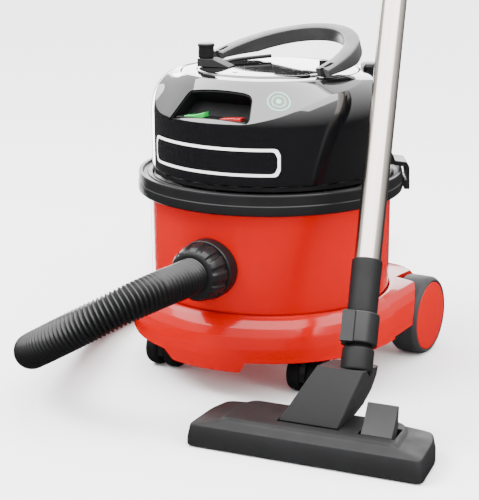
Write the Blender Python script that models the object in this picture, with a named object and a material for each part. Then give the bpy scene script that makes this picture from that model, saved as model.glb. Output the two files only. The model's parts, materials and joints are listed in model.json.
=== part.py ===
"""Tub vacuum cleaner for commercial use, with hose, steel wand and combination floor tool.

Frame: metres, +Z up, the machine's front faces -Y. Every piece is built in machine coordinates,
whose origin is on the drum's axis at floor level, and the root empty moves the whole set so that
the origin lies under the middle of the box round the object (without the hose).
"""
import math

import bmesh
import bpy
from mathutils import Matrix, Vector

# ---------------------------------------------------------------- driving dimensions (metres)
ROOT_SHIFT = (-0.0817, -0.0697, 0.0)
GAP = 0.0003                  # clearance between touching pieces

DRUM_R, DRUM_BASE_R, DRUM_WALL = 0.1606, 0.1600, 0.0030
DRUM_Z0, DRUM_Z1 = 0.1068, 0.2660
BAND_R, BAND_Z0, BAND_Z1 = 0.1764, 0.2423, 0.2695
DOLLY_R, DOLLY_HALF, DOLLY_WALL = 0.1870, 0.1830, 0.0035
SKIRT_Z, BUMPER_Z = 0.0560, 0.0400

WHEEL_R, WHEEL_X0, WHEEL_X1, WHEEL_Y = 0.0540, 0.1440, 0.1856, 0.1240
CASTER_X, CASTER_Y, CASTER_TRAIL, CASTER_R = 0.1080, -0.1080, 0.0160, 0.0250

HEAD_R, HEAD_Z0, SHOULDER_Z, RIM_R, RIM_Z = 0.1570, 0.2752, 0.3450, 0.1190, 0.3995
SHOULDER_POWER = 2.15
CAP_R, DISC_R, DISC_TOP = 0.1168, 0.0960, 0.4040
# front facet of the head: height of its lower crease at each bearing from the front (degrees, m)
CREASE = ((-100, 0.3985), (-62, 0.3980), (-53, 0.3850), (-46, 0.3660), (-37, 0.3545), (-22, 0.3520),
          (18, 0.3535), (33, 0.3630), (42, 0.3717), (57, 0.3837), (72, 0.3890), (88, 0.3950),
          (100, 0.3985))

INLET_Z, INLET_R, INLET_BORE = 0.1685, 0.0385, 0.0215
HOSE_R, HOSE_START_Y = 0.0230, -0.2036

HANDLE_YAW, HANDLE_Z, HANDLE_SLOPE = math.radians(-22.3), 0.4092, math.radians(20.0)
HANDLE_HALF, HANDLE_LENGTH = 0.1210, 0.1196
GRIP_HALF, GRIP_LENGTH, GRIP_THICK = 0.0970, 0.1033, 0.0200
FOOT, FOOT_HALF, PIN_R = 0.0044, 0.0048, 0.0020
KNOB_X, KNOB_Y = -0.0742, -0.0394
CLIP_BEARING = math.radians(120.0)

TOOL_AT, TOOL_TURN = (0.2076, -0.3106), 0.1032
NECK_Y, NECK_Z = 0.0640, 0.0220
TUBE_R, TUBE_WALL, TUBE_LENGTH = 0.0160, 0.0009, 0.4850
SOCKET_TOP, WAND_SLOPE = (0.2177, -0.1578, 0.2061), (-0.1690, 0.5930, 1.0)

COIL_X, COIL_Y, COIL_R = -0.2840, 0.5289, 0.1600
COIL_FROM, COIL_TURN, CUFF_LENGTH = math.radians(210.0), math.radians(275.0), 0.0900
# the hose's way from the inlet: out, round to the left and back past the wheels, down to the floor
HOSE_ROUTE = ((0, -0.2040, 0.1685), (0, -0.2286, 0.1686), (-0.0060, -0.2700, 0.1670),
              (-0.0230, -0.3060, 0.1585), (-0.0490, -0.3315, 0.1435), (-0.0810, -0.3450, 0.1250),
              (-0.1150, -0.3450, 0.1055), (-0.1470, -0.3315, 0.0875), (-0.1730, -0.3060, 0.0730),
              (-0.1900, -0.2720, 0.0635), (-0.2075, -0.2160, 0.0545), (-0.2250, -0.1595, 0.0455),
              (-0.2430, -0.1030, 0.0365), (-0.2590, -0.0470, 0.0285), (-0.2680, 0.0100, 0.0242),
              (-0.2700, 0.0650, 0.0233), (-0.2700, 0.1180, 0.0233), (-0.2739, 0.1612, 0.0233),
              (-0.2851, 0.2032, 0.0233), (-0.3035, 0.2427, 0.0233), (-0.3325, 0.2929, 0.0233),
              (-0.3625, 0.3449, 0.0233), (-0.3925, 0.3968, 0.0233), (-0.4226, 0.4489, 0.0233))


# ---------------------------------------------------------------- mesh and object helpers
def clear_scene():
    for thing in list(bpy.data.objects):
        bpy.data.objects.remove(thing, do_unlink=True)


def material(name, colour, roughness, metallic=0.0):
    mat = bpy.data.materials.new(name)
    mat.use_nodes = True
    shader = mat.node_tree.nodes["Principled BSDF"]
    shader.inputs["Base Color"].default_value = (*colour, 1.0)
    shader.inputs["Roughness"].default_value = roughness
    shader.inputs["Metallic"].default_value = metallic
    return mat


def empty(name, at, parent=None, matrix=None):
    """A body's empty: every piece of the body hangs on it, and it lies on the joint's axis."""
    node = bpy.data.objects.new(name, None)
    bpy.context.scene.collection.objects.link(node)
    node.parent = parent
    node.matrix_basis = Matrix.Translation(at) @ (matrix or Matrix())
    return node


def place(bm, name, body, mat, smooth=True, origin=None):
    """Turns bm into an object on a body; origin is subtracted so that bm may be in machine frame."""
    bmesh.ops.recalc_face_normals(bm, faces=bm.faces)
    if origin is not None:
        bmesh.ops.translate(bm, verts=bm.verts, vec=-Vector(origin))
    mesh = bpy.data.meshes.new(name)
    bm.to_mesh(mesh)
    bm.free()
    mesh.materials.append(mat)
    if smooth:
        mesh.shade_smooth()
        mesh.set_sharp_from_angle(angle=math.radians(35.0))
    piece = bpy.data.objects.new(name, mesh)
    bpy.context.scene.collection.objects.link(piece)
    piece.parent = body
    return piece


def rings_to_bmesh(rings, closed_along=False, cap=False):
    """Skins rings of equal length; closed_along joins the last ring to the first."""
    bm = bmesh.new()
    rows = [[bm.verts.new(point) for point in ring] for ring in rings]
    pairs = list(zip(rows, rows[1:]))
    if closed_along:
        pairs.append((rows[-1], rows[0]))
    for low, high in pairs:
        count = len(low)
        for k in range(count):
            bm.faces.new((low[k], low[(k + 1) % count], high[(k + 1) % count], high[k]))
    if cap:
        bm.faces.new(rows[0][::-1])
        bm.faces.new(rows[-1])
    return bm


def lathe(profile, segments=48, centre=(0.0, 0.0, 0.0), axis="Z"):
    """Turns a closed (radius, height) outline; radius 0 points become poles."""
    bm = bmesh.new()
    columns = []
    for k in range(segments):
        angle = 2 * math.pi * k / segments
        columns.append([(r * math.cos(angle), r * math.sin(angle), h) for r, h in profile])
    poles = {}
    rows = []
    for index, (radius, height) in enumerate(profile):
        if radius < 1e-7:
            poles[index] = bm.verts.new((0.0, 0.0, height))
            rows.append([poles[index]] * segments)
        else:
            rows.append([bm.verts.new(column[index]) for column in columns])
    for index in range(len(profile)):
        following = (index + 1) % len(profile)
        if index in poles and following in poles:
            continue
        for k in range(segments):
            nxt = (k + 1) % segments
            corners = [rows[index][k], rows[index][nxt], rows[following][nxt], rows[following][k]]
            unique = list(dict.fromkeys(corners))
            if len(unique) > 2:
                bm.faces.new(unique)
    turn = {"Z": Matrix(), "X": Matrix.Rotation(math.pi / 2, 4, "Y"),
            "Y": Matrix.Rotation(-math.pi / 2, 4, "X")}[axis]
    bmesh.ops.transform(bm, matrix=Matrix.Translation(centre) @ turn, verts=bm.verts)
    return bm


def box(size, centre, bevel=0.0, segments=1):
    bm = bmesh.new()
    bmesh.ops.create_cube(bm, size=1.0)
    bmesh.ops.scale(bm, verts=bm.verts, vec=size)
    if bevel:
        bmesh.ops.bevel(bm, geom=bm.edges[:], offset=bevel, segments=segments, affect="EDGES",
                        profile=0.5)
    bmesh.ops.translate(bm, verts=bm.verts, vec=centre)
    return bm


def prism(outline, low, high, matrix=None):
    """Extrudes a flat outline from height low to height high along the matrix's Z."""
    rings = [[(x, y, height) for x, y in outline] for height in (low, high)]
    bm = rings_to_bmesh(rings, cap=True)
    if matrix is not None:
        bmesh.ops.transform(bm, matrix=matrix, verts=bm.verts)
    return bm


def boolean(piece, cutter, operation="DIFFERENCE"):
    cutter.hide_render = True
    cutter.display_type = "WIRE"
    step = piece.modifiers.new(operation.lower(), "BOOLEAN")
    step.operation = operation
    step.object = cutter
    step.solver = "EXACT"


def ramp(table, x):
    """Straight-line reading of a short table of (x, value)."""
    for (x0, v0), (x1, v1) in zip(table, table[1:]):
        if x <= x1:
            return v0 + (v1 - v0) * max(0.0, (x - x0)) / (x1 - x0)
    return table[-1][1]


def smooth_route(points, spacing):
    """Catmull-Rom curve through hand-chosen points, read at an even spacing."""
    pts = [Vector(p) for p in points]
    pts = [2 * pts[0] - pts[1]] + pts + [2 * pts[-1] - pts[-2]]
    dense = []
    for a, b, c, d in zip(pts, pts[1:], pts[2:], pts[3:]):
        for step in range(24):
            t = step / 24
            dense.append(0.5 * ((2 * b) + (c - a) * t + (2 * a - 5 * b + 4 * c - d) * t * t
                                + (3 * b - a - 3 * c + d) * t ** 3))
    dense.append(pts[-2])
    total = sum((q - p).length for p, q in zip(dense, dense[1:]))
    count = max(2, round(total / spacing))
    out, walked = [dense[0]], 0.0
    for p, q in zip(dense, dense[1:]):
        length = (q - p).length
        while len(out) < count and walked + length >= total / count * len(out):
            out.append(p.lerp(q, (total / count * len(out) - walked) / length))
        walked += length
    out.append(dense[-1])
    return out


def sweep(path, outer, inner=None, segments=12, ends=(None, None)):
    """Round bar along a path, radii given per point; with inner radii it is an open tube.
    ends may give the exact directions of the first and last rings."""
    points = [Vector(p) for p in path]
    across = None
    rows_out, rows_in = [], []
    for k, point in enumerate(points):
        along = (points[min(k + 1, len(points) - 1)] - points[max(k - 1, 0)]).normalized()
        if k == 0 and ends[0]:
            along = ends[0]
        if k == len(points) - 1 and ends[1]:
            along = ends[1]
        if across is None:
            across = along.orthogonal().normalized()
        across = (across - along * across.dot(along)).normalized()
        other = along.cross(across)
        for rows, radii in ((rows_out, outer), (rows_in, inner)):
            if radii is not None:
                turns = [2 * math.pi * j / segments for j in range(segments)]
                rows.append([point + (across * math.cos(t) + other * math.sin(t)) * radii[k]
                             for t in turns])
    if inner is None:
        return rings_to_bmesh(rows_out, cap=True)
    return rings_to_bmesh(rows_out + rows_in[::-1], closed_along=True)


# ---------------------------------------------------------------- shapes of the machine
def dolly_outline(bearing, radius, half):
    """Plan radius of the dolly: round in front, straight-sided beside the rear wheels."""
    x, y = math.sin(bearing), -math.cos(bearing)
    if y <= 0.0:
        return radius
    rear = 0.1850 - (DOLLY_R - radius)
    side = half / max(abs(x), 1e-6)
    back = rear / max(y, 1e-6)
    corner = (half + rear - 0.055) / (abs(x) + y)
    return min(side if abs(x) > 0.5 else 1.0, back, corner, 10.0)


def dolly_rings(segments=48):
    """Closed cross-section of the dolly at each bearing: pan, shoulder, skirt and their insides."""
    columns = []
    for k in range(segments):
        bearing = 2 * math.pi * k / segments - math.pi
        plan = dolly_outline(bearing, DOLLY_R, DOLLY_HALF)
        front = abs(math.degrees(bearing))
        if front < 17.5:
            foot, tuck = BUMPER_Z, 0.008
        else:
            foot, tuck = SKIRT_Z, 0.0
        wall = DOLLY_WALL
        outer = ((0.0, 0.1062), (0.1580, 0.1062), (0.1620, 0.1118), (0.1655, 0.1112))
        ring = list(outer)
        ring += [(plan - 0.0150, 0.1070), (plan - 0.0080, 0.0995), (plan - 0.0030, 0.0885),
                 (plan, 0.0740), (plan - 0.0005, 0.0620), (plan - tuck, foot)]
        ring += [(plan - wall - tuck, foot), (plan - wall, 0.0625), (plan - wall, 0.0740),
                 (plan - 0.0030 - wall, 0.0870), (plan - 0.0100 - wall, 0.0980), (0.1500, 0.1022),
                 (0.0, 0.1022)]
        direction = (math.sin(bearing), -math.cos(bearing))
        columns.append([(r * direction[0], r * direction[1], z) for r, z in ring])
    return columns


def columns_to_bmesh(columns):
    """Skins columns round the Z axis whose first and last points are on the axis."""
    bm = bmesh.new()
    top = bm.verts.new(columns[0][0])
    bottom = bm.verts.new(columns[0][-1])
    rows = [[bm.verts.new(point) for point in column[1:-1]] for column in columns]
    count = len(rows)
    for k in range(count):
        here, there = rows[k], rows[(k + 1) % count]
        bm.faces.new((top, there[0], here[0]))
        bm.faces.new((bottom, here[-1], there[-1]))
        for i in range(len(here) - 1):
            bm.faces.new((here[i], there[i], there[i + 1], here[i + 1]))
    return bm


def shoulder_point(t, inset=0.0):
    """Point of the head's rounded shoulder, t from 0 at the wall to pi/2 at the rim."""
    power = 2.0 / SHOULDER_POWER
    radius = RIM_R + (HEAD_R - RIM_R) * abs(math.cos(t)) ** power
    height = SHOULDER_Z + (RIM_Z - SHOULDER_Z) * abs(math.sin(t)) ** power
    return radius - inset, height - inset


def head_outline(bearing, inset=0.0, steps=4):
    """Outer section of the head from its foot to the rim, with the flat front facet cut in."""
    crease = min(ramp(CREASE, math.degrees(bearing)), RIM_Z - 0.0004)
    rise = (crease - SHOULDER_Z) / (RIM_Z - SHOULDER_Z)
    last = math.asin(max(0.0, rise) ** (SHOULDER_POWER / 2.0))
    line = [(HEAD_R - inset, HEAD_Z0), (HEAD_R - inset, 0.3100)]
    line += [shoulder_point(last * k / steps, inset) for k in range(steps + 1)]
    r0, z0 = line[-1]
    r1, z1 = RIM_R - inset, RIM_Z - inset
    line += [(r0 + (r1 - r0) * f, z0 + (z1 - z0) * f) for f in (0.5, 1.0)]
    return line


def head_columns(inside, inset=0.0, segments=48):
    columns = []
    for k in range(segments):
        bearing = 2 * math.pi * k / segments - math.pi
        section = head_outline(bearing, inset) + inside
        direction = (math.sin(bearing), -math.cos(bearing))
        columns.append([(r * direction[0], r * direction[1], z) for r, z in section])
    return columns


def facet_frame():
    """Frame of the front facet: X along the machine's X, Y up the slope, Z outward."""
    slope = Vector((0.0, HEAD_R - RIM_R, RIM_Z - 0.3520)).normalized()
    outward = Vector((1.0, 0.0, 0.0)).cross(slope)
    middle = Vector((0.0, -(HEAD_R + RIM_R) / 2, (0.3520 + RIM_Z) / 2))
    frame = Matrix((Vector((1, 0, 0)), slope, outward)).transposed().to_4x4()
    return Matrix.Translation(middle) @ frame


WINDOW = ((-0.0680, -0.0240), (-0.0520, 0.0130), (-0.0470, 0.0180), (0.0330, 0.0180),
          (0.0400, 0.0165), (0.0450, 0.0110), (0.0510, -0.0180), (0.0490, -0.0240))


def inset_outline(outline, distance):
    """Moves each corner of a clockwise outline inward by distance along its bisector."""
    out = []
    count = len(outline)
    for k in range(count):
        before = Vector(outline[k]) - Vector(outline[k - 1])
        after = Vector(outline[(k + 1) % count]) - Vector(outline[k])
        n1 = Vector((before.y, -before.x)).normalized()
        n2 = Vector((after.y, -after.x)).normalized()
        bisector = (n1 + n2).normalized()
        out.append(tuple(Vector(outline[k]) + bisector * distance / max(0.4, bisector.dot(n1))))
    return out


def hoop_point(t, half, reach, height):
    """Point of the handle's hoop in its own frame: t from 0 at one foot to pi at the other."""
    x, y = half * math.cos(t), reach * math.sin(t)
    return (x, y * math.cos(HANDLE_SLOPE) - height * math.sin(HANDLE_SLOPE),
            y * math.sin(HANDLE_SLOPE) + height * math.cos(HANDLE_SLOPE))


# ---------------------------------------------------------------- build
clear_scene()
RED = material("red_plastic", (0.62, 0.03, 0.02), 0.30)
GLOSS_BLACK = material("gloss_black", (0.012, 0.012, 0.014), 0.12)
BLACK = material("black_plastic", (0.03, 0.03, 0.032), 0.45)
GREY = material("dark_grey_plastic", (0.11, 0.11, 0.115), 0.50)
RUBBER = material("rubber", (0.02, 0.02, 0.02), 0.80)
STEEL = material("steel", (0.70, 0.68, 0.66), 0.22, 1.0)
ZINC = material("zinc", (0.55, 0.55, 0.56), 0.35, 1.0)
COPPER = material("copper", (0.72, 0.35, 0.18), 0.40, 1.0)
CLOTH = material("filter_cloth", (0.80, 0.80, 0.77), 0.95)
PAPER = material("dust_bag_paper", (0.62, 0.50, 0.36), 0.90)
GREEN = material("green_plastic", (0.02, 0.60, 0.18), 0.35)
SWITCH_RED = material("red_switch", (0.65, 0.05, 0.04), 0.35)
BRISTLE = material("bristle", (0.04, 0.04, 0.04), 0.90)

machine = empty("machine", ROOT_SHIFT)

# ---- dolly -----------------------------------------------------------------------------------
chassis = place(columns_to_bmesh(dolly_rings()), "chassis", machine, RED)
for side, label in ((-1, "left"), (1, "right")):
    middle = side * (WHEEL_X0 - 0.0020 + 0.06)
    arch_cut = place(lathe([(0, -0.06), (0.0575, -0.06), (0.0575, 0.06), (0, 0.06)], 24,
                           (middle, WHEEL_Y, WHEEL_R), "X"), "cut_wheel_" + label, machine, RED)
    open_cut = place(box((0.12, 0.13, 0.10), (middle, WHEEL_Y + 0.0400, 0.1040)),
                     "cut_arch_" + label, machine, RED)
    boolean(chassis, arch_cut)
    boolean(chassis, open_cut)

place(lathe([(0, -0.1640), (0.0050, -0.1640), (0.0050, 0.1640), (0, 0.1640)], 16,
            (0, WHEEL_Y, WHEEL_R), "X"), "rear_axle", machine, ZINC)
for side, label in ((-1, "left"), (1, "right")):
    hanger = box((0.0100, 0.0300, 0.0500), (side * 0.1200, WHEEL_Y, 0.0705))
    hanger_piece = place(hanger, "axle_bracket_" + label, machine, BLACK)
    bore = place(lathe([(0, -0.02), (0.0053, -0.02), (0.0053, 0.02), (0, 0.02)], 24,
                       (side * 0.1200, WHEEL_Y, WHEEL_R), "X"), "cut_axle_" + label, machine, ZINC)
    boolean(hanger_piece, bore)

# ---- rear wheels -----------------------------------------------------------------------------
for side, label in ((-1, "left"), (1, "right")):
    wheel = empty("wheel_" + label, (side * (WHEEL_X0 + WHEEL_X1) / 2, WHEEL_Y, WHEEL_R), machine)
    half = (WHEEL_X1 - WHEEL_X0) / 2
    inner = 0.0476
    tyre = [(inner, -half), (WHEEL_R - 0.0035, -half), (WHEEL_R - 0.0008, -half + 0.0022),
            (WHEEL_R, -half + 0.0060), (WHEEL_R, half - 0.0060), (WHEEL_R - 0.0008, half - 0.0022),
            (WHEEL_R - 0.0035, half), (inner, half)]
    place(lathe(tyre, 32, axis="X"), "wheel_tyre_" + label, wheel, RUBBER)
    face = side * (half - 0.0006)
    back = -side * (half - 0.0010)
    bore_end = side * 0.0010
    hub = [(0.0, face + side * 0.0030), (0.0250, face + side * 0.0022), (0.0440, face),
           (inner - GAP, face - side * 0.0020), (inner - GAP, back), (0.0400, back),
           (0.0390, back + side * 0.0120), (0.0120, back + side * 0.0120), (0.0110, back),
           (0.0053, back), (0.0053, bore_end), (0.0, bore_end)]
    place(lathe(hub, 24, axis="X"), "wheel_hub_" + label, wheel, RED)

# ---- casters ---------------------------------------------------------------------------------
for side, label in ((-1, "left"), (1, "right")):
    stem_at = (side * CASTER_X, CASTER_Y, 0.0)
    socket = [(0.0130, 0.0570), (0.0130, 0.1040), (0.0, 0.1040), (0.0, 0.0985), (0.0060, 0.0985),
              (0.0060, 0.0570)]
    boolean(chassis, place(lathe(socket, 16, stem_at), "add_socket_" + label, machine, RED), "UNION")
    swivel = empty("caster_" + label, stem_at, machine)
    hood = []
    for k in range(9):
        turn = math.pi * k / 8
        hood.append((CASTER_TRAIL + 0.0215 * math.cos(turn), 0.0300 + 0.0232 * math.sin(turn)))
    hood += [(-0.0060, 0.0180), (CASTER_TRAIL, 0.0150), (CASTER_TRAIL + 0.0215, 0.0180)]
    side_frame = Matrix(((0, 0, 1, 0), (1, 0, 0, 0), (0, 1, 0, 0), (0, 0, 0, 1)))
    fork = place(prism(hood, -0.0040, 0.0040, side_frame), "caster_fork_" + label, swivel, BLACK)
    stem = place(lathe([(0, 0.0400), (0.0036, 0.0400), (0.0036, 0.0545), (0.0056, 0.0560),
                        (0.0056, 0.0975), (0, 0.0975)], 12), "add_stem_" + label, swivel, BLACK)
    boolean(fork, stem, "UNION")
    axle_hole = place(lathe([(0, -0.02), (0.0034, -0.02), (0.0034, 0.02), (0, 0.02)], 16,
                            (0, CASTER_TRAIL, CASTER_R), "X"), "cut_fork_" + label, swivel, BLACK)
    boolean(fork, axle_hole)
    rolling = empty("caster_wheels_%s_body" % label, (0, CASTER_TRAIL, CASTER_R), swivel)
    half_wheel = [(0.0030, 0.0046), (0.0235, 0.0046), (CASTER_R, 0.0080), (CASTER_R, 0.0180),
                  (0.0225, 0.0235), (0.0, 0.0248)]
    twin = [(r, -x) for r, x in reversed(half_wheel)] + half_wheel
    place(lathe(twin, 24, axis="X"), "caster_wheels_" + label, rolling, BLACK)

# ---- drum and its band -----------------------------------------------------------------------
drum_section = [(0.0, DRUM_Z0), (DRUM_BASE_R - 0.0060, DRUM_Z0), (DRUM_BASE_R - 0.0015, 0.1085),
                (DRUM_BASE_R, 0.1125), (DRUM_R, 0.2420), (DRUM_R, DRUM_Z1),
                (DRUM_R - DRUM_WALL, DRUM_Z1), (DRUM_R - DRUM_WALL, 0.2420),
                (DRUM_BASE_R - DRUM_WALL, 0.1140), (DRUM_BASE_R - 0.0080, 0.1098), (0.0, 0.1098)]
drum = place(lathe(drum_section, 48), "drum", machine, RED)
drum_hole = place(lathe([(0, -0.03), (0.0246, -0.03), (0.0246, 0.03), (0, 0.03)], 32,
                        (0, -DRUM_R, INLET_Z), "Y"), "cut_drum_inlet", machine, RED)
boolean(drum, drum_hole)

band_section = [(0.1610, 0.2430), (0.1745, BAND_Z0), (BAND_R, 0.2450), (BAND_R, 0.2670),
                (0.1745, BAND_Z1), (0.1705, BAND_Z1), (0.1690, 0.2640), (0.1640, 0.2640),
                (0.1635, 0.2662), (0.1610, 0.2662)]
place(lathe(band_section, 48), "drum_band", machine, BLACK)

# ---- inlet, dust bag and filter ----------------------------------------------------------------
inlet = place(lathe([(0, -0.0160), (INLET_R - 0.0020, -0.0160), (INLET_R, -0.0140),
                     (INLET_R, 0.0130), (0, 0.0130)], 24, (0, -0.1590, INLET_Z), "Y"),
              "inlet_housing", machine, BLACK)
drum_shape = place(lathe([(0, -0.06), (DRUM_R + GAP, -0.06), (DRUM_R + GAP, 0.06), (0, 0.06)], 48,
                         (0, 0, INLET_Z)), "cut_inlet_back", machine, BLACK)
inlet_pipe = place(lathe([(0, -0.0120), (0.0243, -0.0120), (0.0243, 0.0440), (0, 0.0440)], 32,
                         (0, -0.1590, INLET_Z), "Y"), "add_inlet_pipe", machine, BLACK)
inlet_bore = place(lathe([(0, -0.05), (INLET_BORE, -0.05), (INLET_BORE, 0.08), (0, 0.08)], 32,
                         (0, -0.1590, INLET_Z), "Y"), "cut_inlet_bore", machine, BLACK)
boolean(inlet, drum_shape)
boolean(inlet, inlet_pipe, "UNION")
boolean(inlet, inlet_bore)

collar_body = empty("hose_collar_body", (0, -0.1754, INLET_Z), machine)
collar_rows = ((0.0365, 0.0), (0.0362, -0.0060), (0.0335, -0.0200), (0.0305, -0.0275),
               (0.0270, -0.0279), (0.0215, -0.0279), (0.0215, 0.0))
ribs = 12
collar_rings = []
for k in range(ribs * 2):
    angle = 2 * math.pi * k / (ribs * 2)
    swell = 0.0009 if k % 2 else -0.0006
    column = []
    for index, (radius, along) in enumerate(collar_rows):
        lift = swell if index in (1, 2) else 0.0
        column.append(((radius + lift) * math.cos(angle), along, (radius + lift) * math.sin(angle)))
    collar_rings.append(column)
place(rings_to_bmesh(collar_rings, closed_along=True), "hose_collar", collar_body, BLACK)

bag = bmesh.new()
bmesh.ops.create_uvsphere(bag, u_segments=14, v_segments=8, radius=1.0)
bmesh.ops.scale(bag, verts=bag.verts, vec=(0.115, 0.100, 0.042))
bmesh.ops.translate(bag, verts=bag.verts, vec=(0, -0.0130, INLET_Z - 0.006))
place(bag, "dust_bag", machine, PAPER)

place(lathe([(0.1565, 0.2614), (0.1400, 0.2614), (0.1300, 0.2280), (0.0, 0.2230), (0.0, 0.2205),
             (0.1322, 0.2255), (0.1435, 0.2560), (0.1565, 0.2585)], 32),
      "filter_cloth", machine, CLOTH)

# ---- power head ----------------------------------------------------------------------------------
head = empty("power_head", (0, 0, 0), machine)
place(lathe([(0.0560, 0.2697), (0.1565, 0.2697), (0.1565, 0.2749), (0.0560, 0.2749)], 24),
      "head_plate", head, BLACK)

under_rim = [(0.1183, RIM_Z), (0.1183, 0.3925), (0.0125, 0.3925), (0.0125, 0.3885),
             (0.1140, 0.3885), (0.1535, 0.3490), (0.1535, HEAD_Z0)]
cover = place(rings_to_bmesh(head_columns(under_rim), closed_along=True), "head_cover", head,
              GLOSS_BLACK)
frame = facet_frame()
window_cut = place(prism(WINDOW, -0.0400, 0.0300, frame), "cut_window", head, BLACK)
boolean(cover, window_cut)

tray = place(prism(inset_outline(WINDOW, 0.0005), -0.0320, 0.0200, frame), "switch_tray", head,
             BLACK)
core = place(columns_to_bmesh([[(0, 0, RIM_Z - 0.0012)] + column[::-1] + [(0, 0, HEAD_Z0)]
                               for column in head_columns([], 0.0012)]), "keep_tray", head, BLACK)
tray_hollow = place(prism(inset_outline(WINDOW, 0.0022), -0.0300, 0.0300, frame), "cut_tray", head,
                    BLACK)
boolean(tray, core, "INTERSECT")
boolean(tray, tray_hollow)

shelf_section = ((-0.1440, 0.3532), (-0.1440, 0.3550), (-0.1215, 0.3550), (-0.1308, 0.3428))
shelf = place(rings_to_bmesh([[(x, y, z) for y, z in shelf_section] for x in (-0.0560, 0.0440)],
                             cap=True), "switch_module", head, BLACK)
ROCKERS = (("green", -0.0330, GREEN, 0.0035), ("red", 0.0190, SWITCH_RED, 0.0))
for label, x, colour, lift in ROCKERS:
    slot = place(box((0.0330, 0.0120, 0.0100), (x, -0.1330, 0.3550)), "cut_" + label, head, BLACK)
    boolean(shelf, slot)
    rocker_body = empty("switch_%s_body" % label, (x, -0.1330, 0.3545), head)
    low, high = 0.0012, 0.0038 + lift
    section = ((-0.0150, -0.0006), (0.0, -0.0036), (0.0150, -0.0006 + lift / 2), (0.0150, high),
               (0.0, 0.0030), (-0.0150, low))
    place(rings_to_bmesh([[(px, y, pz) for px, pz in section] for y in (-0.0056, 0.0056)], cap=True),
          "switch_" + label, rocker_body, colour)

# motor, hung through the plate
place(lathe([(0.0550, 0.2697), (0.0550, 0.3340), (0.0480, 0.3380), (0.0060, 0.3380),
             (0.0060, 0.3345), (0.0465, 0.3345), (0.0515, 0.3310), (0.0515, 0.2697)], 24),
      "motor_can", head, ZINC)
place(lathe([(0.0250, 0.2330), (0.0700, 0.2330), (0.0720, 0.2350), (0.0720, 0.2660),
             (0.0695, 0.2660), (0.0695, 0.2360), (0.0250, 0.2360)], 24),
      "fan_housing", head, BLACK)
rotor = empty("rotor", (0, 0, 0.2850), head)
place(lathe([(0, 0.2390), (0.0040, 0.2390), (0.0040, 0.2860), (0.0270, 0.2860), (0.0270, 0.3240),
             (0.0040, 0.3240), (0.0040, 0.3400), (0, 0.3400)], 20, (0, 0, -0.2850)),
      "motor_rotor", rotor, COPPER)
place(lathe([(0.0043, 0.2440), (0.0640, 0.2440), (0.0640, 0.2456), (0.0300, 0.2530),
             (0.0120, 0.2640), (0.0043, 0.2640)], 32, (0, 0, -0.2850)), "impeller", rotor, ZINC)

# fixed cap round the winder's disc
place(lathe([(DISC_R + 0.0006, 0.3930), (CAP_R, 0.3930), (CAP_R, 0.3986), (CAP_R - 0.0015, 0.4004),
             (0.1050, 0.4014), (DISC_R + 0.0006, 0.4018)], 48), "top_cap", head, GLOSS_BLACK)

# winder: disc on top with its crank, shaft and cable reel below it
winder = empty("winder", (0, 0, DISC_TOP), head)
place(lathe([(0, 0.0), (0.0900, 0.0), (DISC_R - 0.0012, -0.0012), (DISC_R, -0.0030),
             (DISC_R, -0.0085), (0.0100, -0.0085), (0.0100, -0.0175), (0, -0.0175)], 48),
      "winder_disc", winder, GLOSS_BLACK)
place(lathe([(0, 0.3862), (0.0090, 0.3862), (0.0090, 0.3700), (0.0800, 0.3700), (0.0800, 0.3680),
             (0.0320, 0.3680), (0.0320, 0.3480), (0.0900, 0.3480), (0.0900, 0.3460),
             (0, 0.3460)], 24, (0, 0, -DISC_TOP)), "cable_reel", winder, GREY)

toward_middle = math.atan2(-KNOB_Y, -KNOB_X) - 0.35
crank_place = (Matrix.Translation((KNOB_X, KNOB_Y, GAP)) @ Matrix.Rotation(toward_middle, 4, "Z")
               @ Matrix.Rotation(math.pi / 2, 4, "X"))
crank_section = ((-0.0085, 0.0), (0.0360, 0.0), (0.0360, 0.0012), (0.0130, 0.0105),
                 (-0.0075, 0.0105), (-0.0085, 0.0095))
crank_base = place(prism(crank_section, -0.0105, 0.0105, crank_place), "crank_base", winder, BLACK,
                   smooth=False)
post = place(lathe([(0, 0.0030), (0.0042, 0.0030), (0.0042, 0.0280), (0, 0.0280)], 16,
                   (KNOB_X, KNOB_Y, 0)), "add_post", winder, BLACK)
boolean(crank_base, post, "UNION")
knob_body = empty("knob_body", (KNOB_X, KNOB_Y, 0.0110), winder)
place(lathe([(0.0045, 0.0002), (0.0098, 0.0002), (0.0104, 0.0016), (0.0102, 0.0150),
             (0.0111, 0.0158), (0.0112, 0.0180), (0.0102, 0.0192), (0, 0.0194), (0, 0.0176),
             (0.0045, 0.0176)], 18), "crank_knob", knob_body, BLACK)

# carry handle: a flat hoop folded back over the head, on two lugs of the cap
yaw = Matrix.Rotation(HANDLE_YAW, 4, "Z")
handle_body = empty("handle_body", (0, 0, HANDLE_Z), head, yaw)
hoop = []
for k in range(-1, 26):
    t = math.pi * min(max(k, 0), 24) / 24
    heel = Vector((0, -FOOT * math.cos(HANDLE_SLOPE), -FOOT * math.sin(HANDLE_SLOPE)))
    half = FOOT_HALF + (GRIP_THICK / 2 - FOOT_HALF) * min(1.0, math.sin(t) * 2.2)
    outer = (HANDLE_HALF, HANDLE_LENGTH)
    inner = (GRIP_HALF, GRIP_LENGTH)
    trim = (HANDLE_HALF - 0.0020, HANDLE_LENGTH - 0.0020)
    lip = (GRIP_HALF + 0.0015, GRIP_LENGTH + 0.0015)
    drop = half - FOOT_HALF           # the grip's upper face stays level with that of its feet
    ring = [Vector(hoop_point(t, *edge, height - drop)) for edge, height in (
        (outer, -half + 0.0030), (outer, half - 0.0020), (trim, half), (lip, half),
        (inner, half - 0.0015), (inner, -half + 0.0020), (lip, -half), (trim, -half))]
    hoop.append([point + heel for point in ring] if k in (-1, 25) else ring)
hoop_mesh = rings_to_bmesh(hoop, cap=True)
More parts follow.
